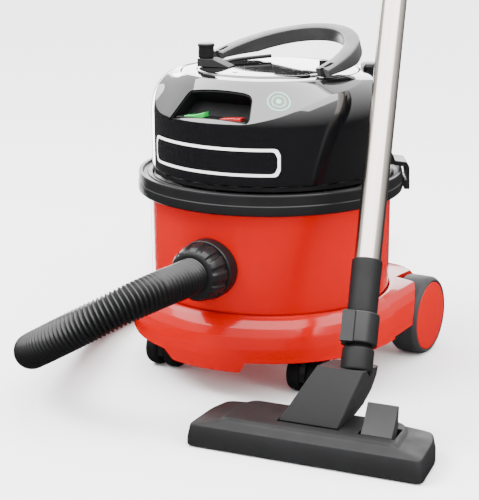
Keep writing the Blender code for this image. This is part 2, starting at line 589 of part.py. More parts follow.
bmesh.ops.triangulate(hoop_mesh, faces=hoop_mesh.faces)     # its twisted quads upset the cuts below
handle = place(hoop_mesh, "carry_handle", handle_body, GREY)
for side, label in ((-1, "left"), (1, "right")):
    fork_gap = box((0.0070, 0.0250, 0.0420), (side * 0.1090, 0, 0))
    boolean(handle, place(fork_gap, "cut_lug_" + label, handle_body, GREY))
    hole = lathe([(0, -0.0200), (PIN_R + GAP, -0.0200), (PIN_R + GAP, 0.0200), (0, 0.0200)], 12,
                 (side * 0.1090, 0, 0), "X")
    boolean(handle, place(hole, "cut_pin_" + label, handle_body, GREY))
    lug = place(box((0.0060, 0.0090, 0.0150), (side * 0.1090, 0, HANDLE_Z - 0.0030)),
                "handle_lug_" + label, head, BLACK)
    lug.matrix_basis = yaw
    pin = place(lathe([(0, -0.0110), (PIN_R, -0.0110), (PIN_R, 0.0110), (0, 0.0110)], 12,
                      (side * 0.1090, 0, HANDLE_Z), "X"), "add_pin_" + label, head, BLACK)
    pin.matrix_basis = yaw
    boolean(lug, pin, "UNION")
cap_clear = place(lathe([(0, 0.38), (0.13, 0.38), (0.13, 0.4020), (0, 0.4020)], 48), "cut_lug_foot",
                  head, BLACK)
for label in ("left", "right"):
    boolean(bpy.data.objects["handle_lug_" + label], cap_clear)

# clips at the back that hold the head down, each on its mount
for side, label in ((-1, "left"), (1, "right")):
    turn = Matrix.Rotation(side * CLIP_BEARING - math.pi / 2, 4, "Z")
    at = turn @ Vector((0.1808, 0, 0.2520))
    mount = place(box((0.0026, 0.0560, 0.0052), (0.1780, 0, 0.2459)), "clip_mount_" + label,
                  machine, BLACK)
    mount.matrix_basis = turn
    pivot = place(lathe([(0, -0.0270), (0.0014, -0.0270), (0.0014, 0.0270), (0, 0.0270)], 12,
                        (0.1808, 0, 0.2520), "Y"), "add_pivot_" + label, machine, BLACK)
    pivot.matrix_basis = turn
    for ear_side in (-1, 1):
        ear = place(box((0.0070, 0.0050, 0.0120), (0.1802, ear_side * 0.0255, 0.2494)),
                    "add_ear_%s_%d" % (label, ear_side), machine, BLACK)
        ear.matrix_basis = turn
        boolean(mount, ear, "UNION")
    boolean(mount, pivot, "UNION")
    clip_body = empty("clip_%s_body" % label, at, machine, turn)
    section = ((0.0004, 0.0022), (0.0032, 0.0012), (0.0030, 0.0200), (-0.0010, 0.0265),
               (-0.0160, 0.0285), (-0.0210, 0.0400), (-0.0226, 0.0400), (-0.0226, 0.0240),
               (-0.0110, 0.0215), (-0.0026, 0.0205))
    clip = place(rings_to_bmesh([[(x, y, z) for x, z in section] for y in (-0.0220, 0.0220)],
                                cap=True), "clip_" + label, clip_body, BLACK, smooth=False)
    barrel = lathe([(0.0018, -0.0215), (0.0034, -0.0215), (0.0034, 0.0215), (0.0018, 0.0215)], 12,
                   axis="Y")
    boolean(clip, place(barrel, "add_barrel_" + label, clip_body, BLACK), "UNION")

# outlet for the mains cable on the rear shoulder, bored for the cable
outlet_place = Matrix.Rotation(math.radians(125.0) - math.pi / 2, 4, "Z")
outlet = place(box((0.0300, 0.0300, 0.0420), (0.1370, 0, 0.3850), 0.0040, 2), "cable_outlet", head,
               BLACK)
outlet.matrix_basis = outlet_place
head_room = place(columns_to_bmesh([[(0, 0, RIM_Z + GAP)] + column[::-1] + [(0, 0, HEAD_Z0)]
                                    for column in head_columns([], -GAP)]),
                  "cut_outlet_seat", head, BLACK)
boolean(outlet, head_room)
outlet_bore = place(lathe([(0, -0.05), (0.0045, -0.05), (0.0045, 0.05), (0, 0.05)], 16,
                          (0.1440, 0, 0.3930), "Y"), "cut_outlet_bore", head, BLACK)
outlet_bore.matrix_basis = outlet_place
boolean(outlet, outlet_bore)

# ---- wand and floor tool ---------------------------------------------------------------------------
tool_turn = Matrix.Rotation(TOOL_TURN, 4, "Z")
tool = empty("floor_tool", (*TOOL_AT, 0.0), machine, tool_turn)


def tool_ring(front, back, half, corner, height):
    """Plan outline of the floor tool at one height: square front, drawn-in rear corners."""
    return [(-half, front + 0.0040, height), (-half + 0.0040, front, height),
            (half - 0.0040, front, height), (half, front + 0.0040, height),
            (half - 0.0035, back - corner, height), (half - 0.0120, back, height),
            (-half + 0.0120, back, height), (-half + 0.0035, back - corner, height)]


TOOL_RINGS = ((0.0, 0.0930, 0.1450, 0.0300, 0.0020), (0.0005, 0.0930, 0.1450, 0.0300, 0.0120),
              (0.0030, 0.0915, 0.1420, 0.0300, 0.0270), (0.0060, 0.0900, 0.1380, 0.0300, 0.0290),
              (0.0260, 0.0880, 0.1100, 0.0200, 0.0330))
shell = place(rings_to_bmesh([tool_ring(*row) for row in TOOL_RINGS], cap=True), "tool_body", tool,
              GREY)
chamber = place(box((0.2600, 0.0660, 0.0180), (0, 0.0460, 0.0090)), "cut_chamber", tool, GREY)
throat = place(box((0.0770, 0.0620, 0.0300), (-0.0045, 0.0660, 0.0240)), "cut_throat", tool, GREY)
pedal_slot = place(box((0.0440, 0.0330, 0.0300), (0.0790, 0.0505, 0.0340)), "cut_pedal", tool,
                   GREY)
for cutter in (chamber, throat, pedal_slot):
    boolean(shell, cutter)

sole = place(box((0.2500, 0.0560, 0.0020), (0, 0.0460, 0.0040), 0.0006), "sole_plate", tool, STEEL)
mouth = place(box((0.2200, 0.0140, 0.0100), (0, 0.0460, 0.0040)), "cut_mouth", tool, STEEL)
boolean(sole, mouth)
brush_body = empty("brush_frame", (0, 0, 0), tool)
for label, y in (("front", 0.0260), ("rear", 0.0660)):
    boolean(sole, place(box((0.2420, 0.0074, 0.0100), (0, y, 0.0040)), "cut_strip_" + label, tool,
                        STEEL))
    place(box((0.2400, 0.0060, 0.0085), (0, y, 0.00455)), "brush_" + label, brush_body, BRISTLE,
          smooth=False)

for side, label in ((-1, "left"), (1, "right")):
    roller_at = (side * 0.0950, 0.0865, 0.0077)
    boolean(shell, place(box((0.0190, 0.0180, 0.0330), (roller_at[0], 0.0870, 0.0)),
                         "cut_roller_" + label, tool, GREY))
    boolean(shell, place(lathe([(0, -0.0130), (0.0021, -0.0130), (0.0021, 0.0130), (0, 0.0130)], 12,
                               roller_at, "X"), "cut_roller_pin_" + label, tool, GREY))
    roller = empty("roller_%s_body" % label, roller_at, tool)
    place(lathe([(0, -0.0125), (0.0018, -0.0125), (0.0018, -0.0088), (0.0068, -0.0088),
                 (0.0075, -0.0078), (0.0075, 0.0078), (0.0068, 0.0088), (0.0018, 0.0088),
                 (0.0018, 0.0125), (0, 0.0125)], 20, axis="X"), "tool_roller_" + label, roller,
          BLACK)

pedal_body = empty("pedal_body", (0.0790, 0.0480, 0.0360), tool)
pedal_section = ((-0.0120, -0.0040), (-0.0128, -0.0005), (-0.0040, 0.0085), (0.0105, 0.0300),
                 (0.0140, 0.0292), (0.0110, 0.0040), (0.0040, -0.0060))
place(rings_to_bmesh([[(x, y, z) for y, z in pedal_section] for x in (-0.0185, 0.0185)], cap=True),
      "tool_pedal", pedal_body, GREY)

# neck: a hood that rocks on the tool's own cross axis; each section is (left, right, front, back)
NECK_SECTIONS = ((-0.0400, 0.0305, (0.0545, 0.0160), (0.0745, 0.0160)),
                 (-0.0410, 0.0312, (0.0500, 0.0230), (0.0800, 0.0215)),
                 (-0.0415, 0.0318, (0.0395, 0.0355), (0.0930, 0.0300)),
                 (-0.0222, 0.0430, (0.0488, 0.0675), (0.1290, 0.0560)),
                 (-0.0025, 0.0545, (0.0606, 0.1005), (0.1180, 0.0900)))
neck_body = empty("neck_body", (0, NECK_Y, NECK_Z), tool)
neck_rings = []
for left, right, (front, front_z), (back, back_z) in NECK_SECTIONS:
    cheek = 0.0050
    middle_y, middle_z = front + (back - front) * 0.3, front_z + (back_z - front_z) * 0.3
    far_y, far_z = front + (back - front) * 0.8, front_z + (back_z - front_z) * 0.8
    ring = [(left, front + 0.0010, front_z), (left + 0.0020, front, front_z),
            (right - 0.0020, front, front_z), (right, front + 0.0010, front_z),
            (right, middle_y, middle_z), (right, far_y, far_z), (right - cheek, back, back_z),
            (left + cheek, back, back_z), (left, far_y, far_z), (left, middle_y, middle_z)]
    neck_rings.append([(x, y - NECK_Y, z - NECK_Z) for x, y, z in ring])
neck = place(rings_to_bmesh(neck_rings, cap=True), "neck", neck_body, GREY, smooth=False)
pin_bore = place(lathe([(0, -0.06), (0.0034, -0.06), (0.0034, 0.06), (0, 0.06)], 16, axis="X"),
                 "cut_neck_pin", neck_body, GREY)
boolean(neck, pin_bore)
pin_at = (-0.0045, NECK_Y, NECK_Z)
place(lathe([(0, -0.0440), (0.0031, -0.0440), (0.0031, 0.0440), (0, 0.0440)], 16, pin_at, "X"),
      "neck_pin", tool, ZINC)
boolean(shell, place(lathe([(0, -0.0450), (0.0034, -0.0450), (0.0034, 0.0450), (0, 0.0450)], 16,
                           pin_at, "X"), "cut_tool_pin", tool, GREY))

# wand: every piece is turned about the tube's own axis, local Z, with 0 at the socket's mouth
slope = Vector(WAND_SLOPE).normalized()
wand_turn = slope.to_track_quat("Z", "Y").to_matrix().to_4x4()
wand_at = Matrix.Translation(SOCKET_TOP) @ wand_turn
tool_place = Matrix.Translation((*TOOL_AT, 0)) @ tool_turn
neck_place = tool_place @ Matrix.Translation((0, NECK_Y, NECK_Z))
wand_body = empty("wand", (0, 0, 0), neck_body, neck_place.inverted() @ wand_at)
place(lathe([(0.0150, -0.0700), (0.0150, -0.1040), (0.0168, -0.1060), (0.0188, -0.1080),
             (0.0188, -0.1500), (0.0170, -0.1530), (0.0135, -0.1530), (0.0135, -0.0700)], 20),
      "elbow", wand_body, GREY)
socket_cut = lathe([(0, -0.1600), (0.0199, -0.1600), (0.0199, -0.0500), (0, -0.0500)], 20)
socket_cutter = place(socket_cut, "cut_neck_socket", wand_body, GREY)
boolean(neck, socket_cutter)
throat_cut = place(lathe([(0, -0.2150), (0.0120, -0.2150), (0.0120, -0.1550), (0, -0.1550)], 24),
                   "cut_neck_throat", wand_body, GREY)
boolean(neck, throat_cut)
collar_ring = place(lathe([(0.0154, -0.1020), (0.0205, -0.1030), (0.0212, -0.1015),
                           (0.0212, -0.0670), (0.0205, -0.0655), (0.0154, -0.0655)], 20),
                    "tube_collar", wand_body, BLACK)
clip_pad = place(box((0.0150, 0.0070, 0.0370), (0.0120, 0.0190, -0.0845), 0.0015),
                 "add_collar_pad", wand_body, BLACK)
boolean(collar_ring, clip_pad, "UNION")
collar_bore = place(lathe([(0, -0.12), (0.0154, -0.12), (0.0154, -0.05), (0, -0.05)], 20),
                    "cut_collar", wand_body, BLACK)
boolean(collar_ring, collar_bore)
place(lathe([(0.0163, -0.0650), (0.0172, -0.0650), (0.0176, -0.0620), (0.0181, -0.0040),
             (0.0178, 0.0), (0.0163, 0.0)], 20), "wand_socket", wand_body, GREY)
bore_r = TUBE_R - TUBE_WALL
spigot_r = bore_r - 0.0003
joint_s = -0.0600 + TUBE_LENGTH
top_s = joint_s + TUBE_LENGTH
place(lathe([(TUBE_R, -0.0600), (TUBE_R, joint_s), (spigot_r, joint_s + 0.0010),
             (spigot_r, joint_s + 0.0300), (spigot_r - 0.0010, joint_s + 0.0300),
             (spigot_r - 0.0010, joint_s), (bore_r, joint_s - 0.0010), (bore_r, -0.0600)], 20),
      "lower_tube", wand_body, STEEL)
place(lathe([(TUBE_R, joint_s + 0.0013), (TUBE_R, top_s), (spigot_r, top_s + 0.0010),
             (spigot_r, top_s + 0.0300), (spigot_r - 0.0010, top_s + 0.0300),
             (spigot_r - 0.0010, top_s), (bore_r, top_s - 0.0010), (bore_r, joint_s + 0.0013)], 20),
      "upper_tube", wand_body, STEEL)
bend_start = top_s + 0.0850
bend_path = [(0, 0, top_s + 0.0013), (0, 0, top_s + 0.0400), (0, 0, bend_start)]
for k in range(1, 9):
    turn = math.radians(48.0) * k / 8
    bend_path.append((0, -0.0900 * (1 - math.cos(turn)), bend_start + 0.0900 * math.sin(turn)))
end_along = Vector((0, -math.sin(math.radians(48.0)), math.cos(math.radians(48.0))))
bend_path.append(tuple(Vector(bend_path[-1]) + end_along * 0.0600))
count = len(bend_path)
place(sweep(bend_path, [TUBE_R] * count, [bore_r] * count, 20), "bent_tube", wand_body, STEEL)
slider = empty("suction_slider_body", (0, 0, top_s + 0.0300), wand_body)
place(lathe([(TUBE_R + 0.0004, -0.0140), (0.0190, -0.0140), (0.0200, -0.0120), (0.0200, 0.0120),
             (0.0190, 0.0140), (TUBE_R + 0.0004, 0.0140)], 20), "suction_slider", slider, BLACK)

# ---- hose: a tube along its way, a bent ring for the coil behind the machine, and its cuff ---------
coil = []
coil_steps = 30
trim = 2 * GAP / COIL_R
for k in range(coil_steps + 1):
    bearing = COIL_FROM - trim - (COIL_TURN - 2 * trim) * k / coil_steps
    coil.append((COIL_X + COIL_R * math.cos(bearing), COIL_Y + COIL_R * math.sin(bearing),
                 HOSE_ROUTE[-1][2]))
route = smooth_route(HOSE_ROUTE, 0.0200)
line = bpy.data.curves.new("hose_line", "CURVE")
line.dimensions = "3D"
line.bevel_depth, line.bevel_resolution, line.use_fill_caps = HOSE_R, 2, True
spline = line.splines.new("POLY")
spline.points.add(len(route) - 1)
for point, place_at in zip(spline.points, route):
    point.co = (*place_at, 1.0)
line.materials.append(RUBBER)
hose_line = bpy.data.objects.new("hose_line", line)
bpy.context.scene.collection.objects.link(hose_line)
hose_line.parent = machine
last = COIL_FROM - COIL_TURN
end_at = Vector((COIL_X + COIL_R * math.cos(last), COIL_Y + COIL_R * math.sin(last),
                 HOSE_ROUTE[-1][2]))
coil_start = Vector((math.sin(COIL_FROM), -math.cos(COIL_FROM), 0))
end_along = Vector((math.sin(last), -math.cos(last), 0))
place(sweep(coil, [HOSE_R] * len(coil), ends=(coil_start, end_along)), "hose_coil", machine,
      RUBBER)
cuff_path = [end_at + end_along * f * CUFF_LENGTH for f in (0.0, 0.08, 0.45, 0.5, 1.0)]
place(sweep(cuff_path, (0.0224, 0.0230, 0.0218, 0.0178, 0.0172),
            (0.0160, 0.0160, 0.0160, 0.0160, 0.0160), 16), "hose_cuff", machine, BLACK)
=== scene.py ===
"""Looks of the tub vacuum cleaner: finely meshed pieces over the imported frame, with procedural
materials, the ribbed hose at its real length, a plain pale studio and the camera.

Points are in machine coordinates, and AXIS moves them into the frame. They are metres from the
drum's axis at floor level, with the front along -Y.
"""
import json
import math

import bmesh
import bpy
from mathutils import Matrix, Vector


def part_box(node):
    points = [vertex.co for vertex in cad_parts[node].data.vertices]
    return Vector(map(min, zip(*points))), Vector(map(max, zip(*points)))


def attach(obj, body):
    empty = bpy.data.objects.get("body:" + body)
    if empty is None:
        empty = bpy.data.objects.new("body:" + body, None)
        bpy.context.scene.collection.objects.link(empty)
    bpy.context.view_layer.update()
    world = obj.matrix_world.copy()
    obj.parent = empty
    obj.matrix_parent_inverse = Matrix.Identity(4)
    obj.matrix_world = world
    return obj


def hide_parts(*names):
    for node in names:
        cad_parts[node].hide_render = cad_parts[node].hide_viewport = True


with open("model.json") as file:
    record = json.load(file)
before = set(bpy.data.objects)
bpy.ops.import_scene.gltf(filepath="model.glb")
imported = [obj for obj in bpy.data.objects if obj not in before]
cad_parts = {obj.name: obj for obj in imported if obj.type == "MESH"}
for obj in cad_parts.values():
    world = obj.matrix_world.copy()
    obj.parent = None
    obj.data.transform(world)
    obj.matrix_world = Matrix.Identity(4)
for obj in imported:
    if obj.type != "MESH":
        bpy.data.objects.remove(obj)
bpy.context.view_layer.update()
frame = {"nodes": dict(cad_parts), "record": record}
drum_low, drum_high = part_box("drum")
AXIS = Vector(((drum_low.x + drum_high.x) / 2, (drum_low.y + drum_high.y) / 2, 0.0))


# ---------- materials
def principled(name, colour, roughness, metallic=0.0, coat=0.0):
    mat = bpy.data.materials.new(name)
    mat.use_nodes = True
    shader = mat.node_tree.nodes["Principled BSDF"]
    shader.inputs["Base Color"].default_value = (*colour, 1.0)
    shader.inputs["Roughness"].default_value = roughness
    shader.inputs["Metallic"].default_value = metallic
    shader.inputs["Coat Weight"].default_value = coat
    shader.inputs["Coat Roughness"].default_value = 0.04
    return mat, mat.node_tree, shader


def noise(tree, scale, detail=3.0, stretch=(1.0, 1.0, 1.0), source=None):
    """Noise in object coordinates, or in those of another object."""
    place = tree.nodes.new("ShaderNodeTexCoord")
    place.object = source
    mapping = tree.nodes.new("ShaderNodeMapping")
    mapping.inputs["Scale"].default_value = stretch
    texture = tree.nodes.new("ShaderNodeTexNoise")
    texture.inputs["Scale"].default_value = scale
    texture.inputs["Detail"].default_value = detail
    tree.links.new(place.outputs["Object"], mapping.inputs["Vector"])
    tree.links.new(mapping.outputs["Vector"], texture.inputs["Vector"])
    return texture.outputs["Fac"]


NOISE_LOW, NOISE_HIGH = 0.3, 0.7  # nearly all of a noise texture's values lie between these


def spread(tree, value, low, high):
    """Maps a noise value onto a range."""
    step = tree.nodes.new("ShaderNodeMapRange")
    step.inputs["From Min"].default_value = NOISE_LOW
    step.inputs["From Max"].default_value = NOISE_HIGH
    step.inputs["To Min"].default_value = low
    step.inputs["To Max"].default_value = high
    tree.links.new(value, step.inputs["Value"])
    return step.outputs["Result"]


# sockets of a Mix node that is set to colours
MIX_FACTOR, MIX_FIRST, MIX_SECOND, MIX_RESULT = 0, 6, 7, 2


def tint(tree, shader, value, first, second):
    """Base colour between two colours, by a 0 to 1 value."""
    mix = tree.nodes.new("ShaderNodeMix")
    mix.data_type = "RGBA"
    mix.inputs[MIX_FIRST].default_value = (*first, 1.0)
    mix.inputs[MIX_SECOND].default_value = (*second, 1.0)
    tree.links.new(value, mix.inputs[MIX_FACTOR])
    tree.links.new(mix.outputs[MIX_RESULT], shader.inputs["Base Color"])


def bump(tree, shader, value, distance, strength=1.0):
    step = tree.nodes.new("ShaderNodeBump")
    step.inputs["Distance"].default_value = distance
    step.inputs["Strength"].default_value = strength
    tree.links.new(value, step.inputs["Height"])
    tree.links.new(step.outputs["Normal"], shader.inputs["Normal"])


def moulded(name, colour, roughness, grain=0.0, coat=0.0, shade=0.12, gloss=0.5):
    """Moulded plastic: a slow change of tone, uneven gloss, and a fine grain or orange peel."""
    mat, tree, shader = principled(name, colour, roughness, coat=coat)
    shader.inputs["Specular IOR Level"].default_value = gloss
    darker = tuple(c * (1.0 - shade) for c in colour)
    tint(tree, shader, spread(tree, noise(tree, 9.0), 0.0, 1.0), colour, darker)
    tree.links.new(spread(tree, noise(tree, 35.0), roughness * 0.85, roughness * 1.15),
                   shader.inputs["Roughness"])
    if grain > 0.0:
        bump(tree, shader, noise(tree, 2600.0, 2.0), grain, 0.55)
    else:
        bump(tree, shader, noise(tree, 70.0, 2.0), 0.00004, 0.35)
    return mat


def brushed(name, colour, roughness, source, stretch):
    """Brushed metal: fine streaks that run along the source's stretched axis."""
    mat, tree, shader = principled(name, colour, roughness, metallic=1.0)
    streaks = noise(tree, 600.0, 4.0, stretch, source)
    tree.links.new(spread(tree, streaks, roughness * 0.7, roughness * 1.5),
                   shader.inputs["Roughness"])
    dull = tuple(c * 0.82 for c in colour)
    tint(tree, shader, spread(tree, noise(tree, 220.0, 2.0, stretch, source), 0.0, 1.0), colour,
         dull)
    bump(tree, shader, streaks, 0.00002, 0.5)
    return mat


def woven(name, colour, pitch, depth):
    """Woven cloth from two crossed waves, with pitch between its threads."""
    mat, tree, shader = principled(name, colour, 0.95)
    place = tree.nodes.new("ShaderNodeTexCoord")
    total = tree.nodes.new("ShaderNodeMath")
    total.operation = "MULTIPLY"
    for slot_index, direction in enumerate(("X", "Y")):
        wave = tree.nodes.new("ShaderNodeTexWave")
        wave.bands_direction = direction
        wave.inputs["Scale"].default_value = 0.31 / pitch
        tree.links.new(place.outputs["Object"], wave.inputs["Vector"])
        tree.links.new(wave.outputs["Fac"], total.inputs[slot_index])
    tint(tree, shader, total.outputs["Value"], colour, tuple(c * 0.7 for c in colour))
    bump(tree, shader, total.outputs["Value"], depth)
    return mat


# ---------- mesh helpers
CREASE_ANGLE = 32.0


def finish_piece(bm, name, body, mat, stands_for=(), sharp=CREASE_ANGLE, local=False):
    """Makes bm a piece on a body: in machine coordinates unless local, sharp past an angle."""
    bmesh.ops.remove_doubles(bm, verts=bm.verts, dist=1e-6)
    bmesh.ops.recalc_face_normals(bm, faces=bm.faces)
    if not local:
        bmesh.ops.translate(bm, verts=bm.verts, vec=AXIS)
    mesh = bpy.data.meshes.new(name)
    bm.to_mesh(mesh)
    bm.free()
    mesh.materials.append(mat)
    mesh.shade_smooth()
    mesh.set_sharp_from_angle(angle=math.radians(sharp))
    piece = bpy.data.objects.new(name, mesh)
    bpy.context.scene.collection.objects.link(piece)
    if body:
        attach(piece, body)
    if stands_for:
        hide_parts(*stands_for)
    return piece


def carve(piece, tool, operation="DIFFERENCE"):
    """Applies a boolean with a throwaway cutter and keeps the piece's smooth shading."""
    step = piece.modifiers.new("carve", "BOOLEAN")
    step.operation = operation
    step.object = tool
    step.solver = "EXACT"
    bpy.context.view_layer.update()
    shown = piece.evaluated_get(bpy.context.evaluated_depsgraph_get())
    result = bpy.data.meshes.new_from_object(shown)
    piece.modifiers.remove(step)
    piece.data = result
    result.shade_smooth()
    result.set_sharp_from_angle(angle=math.radians(CREASE_ANGLE))
    bpy.data.objects.remove(tool, do_unlink=True)


def round_edges(piece, width, segments=3, angle=CREASE_ANGLE):
    """Softens the piece's hard edges."""
    step = piece.modifiers.new("round", "BEVEL")
    step.width = width
    step.segments = segments
    step.limit_method = "ANGLE"
    step.angle_limit = math.radians(angle)
    step.harden_normals = True
    return piece


def skin(rings, closed=False, cap=False):
    """Skins equal rings of points, with the last joined to the first or the ends capped."""
    bm = bmesh.new()
    rows = [[bm.verts.new(point) for point in ring] for ring in rings]
    pairs = list(zip(rows, rows[1:])) + ([(rows[-1], rows[0])] if closed else [])
    for low, high in pairs:
        for k in range(len(low)):
            after = (k + 1) % len(low)
            bm.faces.new((low[k], low[after], high[after], high[k]))
    if cap:
        bm.faces.new(rows[0][::-1])
        bm.faces.new(rows[-1])
    return bm


ON_AXIS = 1e-7


def turned(profile, centre=(0, 0, 0), axis="Z", segments=128, ripple=None):
    """Turns a closed (radius, height) outline; ripple(angle, index) is added to the radius."""
    bm = bmesh.new()
    rows = []
    for index, (radius, height) in enumerate(profile):
        if radius < ON_AXIS:
            rows.append([bm.verts.new((0, 0, height))] * segments)
            continue
        row = []
        for k in range(segments):
            angle = 2 * math.pi * k / segments
            r = radius + (ripple(angle, index) if ripple else 0.0)
            row.append(bm.verts.new((r * math.cos(angle), r * math.sin(angle), height)))
        rows.append(row)
    for index, row in enumerate(rows):
        following = rows[(index + 1) % len(rows)]
        for k in range(segments):
            after = (k + 1) % segments
            corners = list(dict.fromkeys((row[k], row[after], following[after], following[k])))
            if len(corners) > 2:
                bm.faces.new(corners)
    turn = {"Z": Matrix(), "X": Matrix.Rotation(math.pi / 2, 4, "Y"),
            "Y": Matrix.Rotation(-math.pi / 2, 4, "X")}[axis]
    bmesh.ops.transform(bm, matrix=Matrix.Translation(centre) @ turn, verts=bm.verts)
    return bm


def rounded(start, corner, end, steps):
    """Points of a curve from start to end that bends round a corner."""
    for step in range(steps + 1):
        t = step / steps
        yield tuple(start * (1 - t) ** 2 + corner * 2 * t * (1 - t) + end * t * t)


def soften(profile, radius, steps=3, on_axis=True):
    """Rounds each corner of a closed outline, except for points on the turning axis."""
    out = []
    count = len(profile)
    for k in range(count):
        here = Vector(profile[k])
        before, after = Vector(profile[k - 1]), Vector(profile[(k + 1) % count])
        reach = min(radius, (before - here).length * 0.45, (after - here).length * 0.45)
        if on_axis and here[0] < 1e-6:
            out.append(tuple(here))
            continue
        start = here + (before - here).normalized() * reach
        end = here + (after - here).normalized() * reach
        out.extend(rounded(start, here, end, steps))
    return out


def prism(outline, low, high, matrix=None):
    """Solid with a plan outline, between two heights."""
    bm = skin([[(x, y, z) for x, y in outline] for z in (low, high)], cap=True)
    if matrix is not None:
        bmesh.ops.transform(bm, matrix=matrix, verts=bm.verts)
    return bm


def block(size, centre, matrix=None):
    """Box of a size about a centre."""
    bm = bmesh.new()
    bmesh.ops.create_cube(bm, size=1.0)
    bmesh.ops.scale(bm, verts=bm.verts, vec=size)
    bmesh.ops.translate(bm, verts=bm.verts, vec=centre)
    if matrix is not None:
        bmesh.ops.transform(bm, matrix=matrix, verts=bm.verts)
    return bm


def cutter(bm):
    """Makes bm a throwaway object for carve."""
    return finish_piece(bm, "cutter", None, RED)


CURVE_STEPS = 40


def smooth_route(points, spacing):
    """Catmull-Rom curve through given points, read at an even spacing."""
    pts = [Vector(p) for p in points]
    pts = [2 * pts[0] - pts[1]] + pts + [2 * pts[-1] - pts[-2]]
    dense = []
    for a, b, c, d in zip(pts, pts[1:], pts[2:], pts[3:]):
        for step in range(CURVE_STEPS):
            t = step / CURVE_STEPS
            dense.append(0.5 * ((2 * b) + (c - a) * t + (2 * a - 5 * b + 4 * c - d) * t * t
                                + (3 * b - a - 3 * c + d) * t ** 3))
    dense.append(pts[-2])
    total = sum((q - p).length for p, q in zip(dense, dense[1:]))
    count = max(2, round(total / spacing))
    out, walked = [dense[0]], 0.0
    for p, q in zip(dense, dense[1:]):
        length = (q - p).length
        while len(out) < count and walked + length >= total / count * len(out):
            out.append(p.lerp(q, (total / count * len(out) - walked) / length))
        walked += length
    out.append(dense[-1])
    return out


def swept(path, outer, inner=None, segments=32, closed=False):
    """Round tube along a path with a radius for each point; inner radii make it hollow."""
    points = [Vector(p) for p in path]
    across = None
    rows_out, rows_in = [], []
    turns = [2 * math.pi * j / segments for j in range(segments)]
    for k, point in enumerate(points):
        along = (points[min(k + 1, len(points) - 1)] - points[max(k - 1, 0)]).normalized()
        if across is None:
            across = along.orthogonal().normalized()
        across = (across - along * across.dot(along)).normalized()
        other = along.cross(across)
        for rows, radii in ((rows_out, outer), (rows_in, inner)):
            if radii is not None:
                rows.append([point + (across * math.cos(t) + other * math.sin(t)) * radii[k]
                             for t in turns])
    if inner is None:
        return skin(rows_out, cap=True)
    return skin(rows_out + rows_in[::-1], closed=True)


# ---------- camera, light and floor
# solved from the photo: direction, roll, distance, lens, and the aim's shift from the drum's axis
VIEW_TURN, VIEW_RISE = math.radians(30.0018), math.radians(15.2111)
VIEW_ROLL = math.radians(-0.3749)
VIEW_FAR, VIEW_LENS, VIEW_SHIFT, VIEW_AIM_Z = 1.97085, 109.06, -0.041944, 0.153792
toward = Vector((math.sin(VIEW_TURN) * math.cos(VIEW_RISE),
                 -math.cos(VIEW_TURN) * math.cos(VIEW_RISE), math.sin(VIEW_RISE)))
right_hand = Vector((math.cos(VIEW_TURN), math.sin(VIEW_TURN), 0))
upward = toward.cross(right_hand)
eye = AXIS + right_hand * VIEW_SHIFT + Vector((0, 0, VIEW_AIM_Z)) + toward * VIEW_FAR
right = right_hand * math.cos(VIEW_ROLL) + upward * math.sin(VIEW_ROLL)
up = -right_hand * math.sin(VIEW_ROLL) + upward * math.cos(VIEW_ROLL)
lens = bpy.data.cameras.new("camera")
lens.lens = VIEW_LENS
lens.sensor_width = 36.0
lens.sensor_fit = "HORIZONTAL"
camera = bpy.data.objects.new("camera", lens)
camera.matrix_world = Matrix.Translation(eye) @ Matrix((right, up, toward)).transposed().to_4x4()
bpy.context.scene.collection.objects.link(camera)
bpy.context.scene.camera = camera


def softbox(name, at, aim, width, height, power, reflect_only=False):
    """White rectangular lamp: it lights the surfaces, or shows only in their reflections."""
    light = bpy.data.lights.new(name, "AREA")
    light.shape = "RECTANGLE"
    light.size, light.size_y, light.energy = width, height, power
    lamp = bpy.data.objects.new(name, light)
    direction = Vector(at) - Vector(aim)
    lamp.matrix_world = (Matrix.Translation(AXIS + Vector(at))
                         @ direction.to_track_quat("Z", "Y").to_matrix().to_4x4())
    lamp.visible_diffuse = not reflect_only
    lamp.visible_glossy = reflect_only
    bpy.context.scene.collection.objects.link(lamp)


# the sky is dark at the horizon and bright overhead, so that upright sides stay deep
world = bpy.data.worlds.new("studio")
world.use_nodes = True
sky = world.node_tree
heading = sky.nodes.new("ShaderNodeTexCoord")
axes = sky.nodes.new("ShaderNodeSeparateXYZ")
rise = sky.nodes.new("ShaderNodeMapRange")
rise.inputs["From Min"].default_value = -0.10
rise.inputs["From Max"].default_value = 0.75
rise.inputs["To Min"].default_value = 0.12
rise.inputs["To Max"].default_value = 4.6
sky.links.new(heading.outputs["Generated"], axes.inputs["Vector"])
sky.links.new(axes.outputs["Z"], rise.inputs["Value"])
sky.links.new(rise.outputs["Result"], sky.nodes["Background"].inputs["Strength"])
sky.nodes["Background"].inputs["Color"].default_value = (1.0, 1.0, 1.0, 1.0)
bpy.context.scene.world = world
softbox("key", (-1.30, -1.15, 2.25), (0, -0.14, 0.37), 1.5, 1.1, 120.0)
softbox("side", (2.4, -0.6, 1.2), (0, 0, 0.25), 0.7, 1.6, 45.0)
softbox("overhead", (0.10, -0.50, 2.3), (0, 0, 0.4), 6.4, 3.6, 860.0, reflect_only=True)
softbox("backdrop", (-1.6, 2.8, 1.3), (0, 0, 0.4), 3.4, 1.6, 150.0, reflect_only=True)
softbox("left_strip", (-1.9, 1.35, 0.2), (0, 0, 0.35), 0.5, 2.4, 50.0, reflect_only=True)

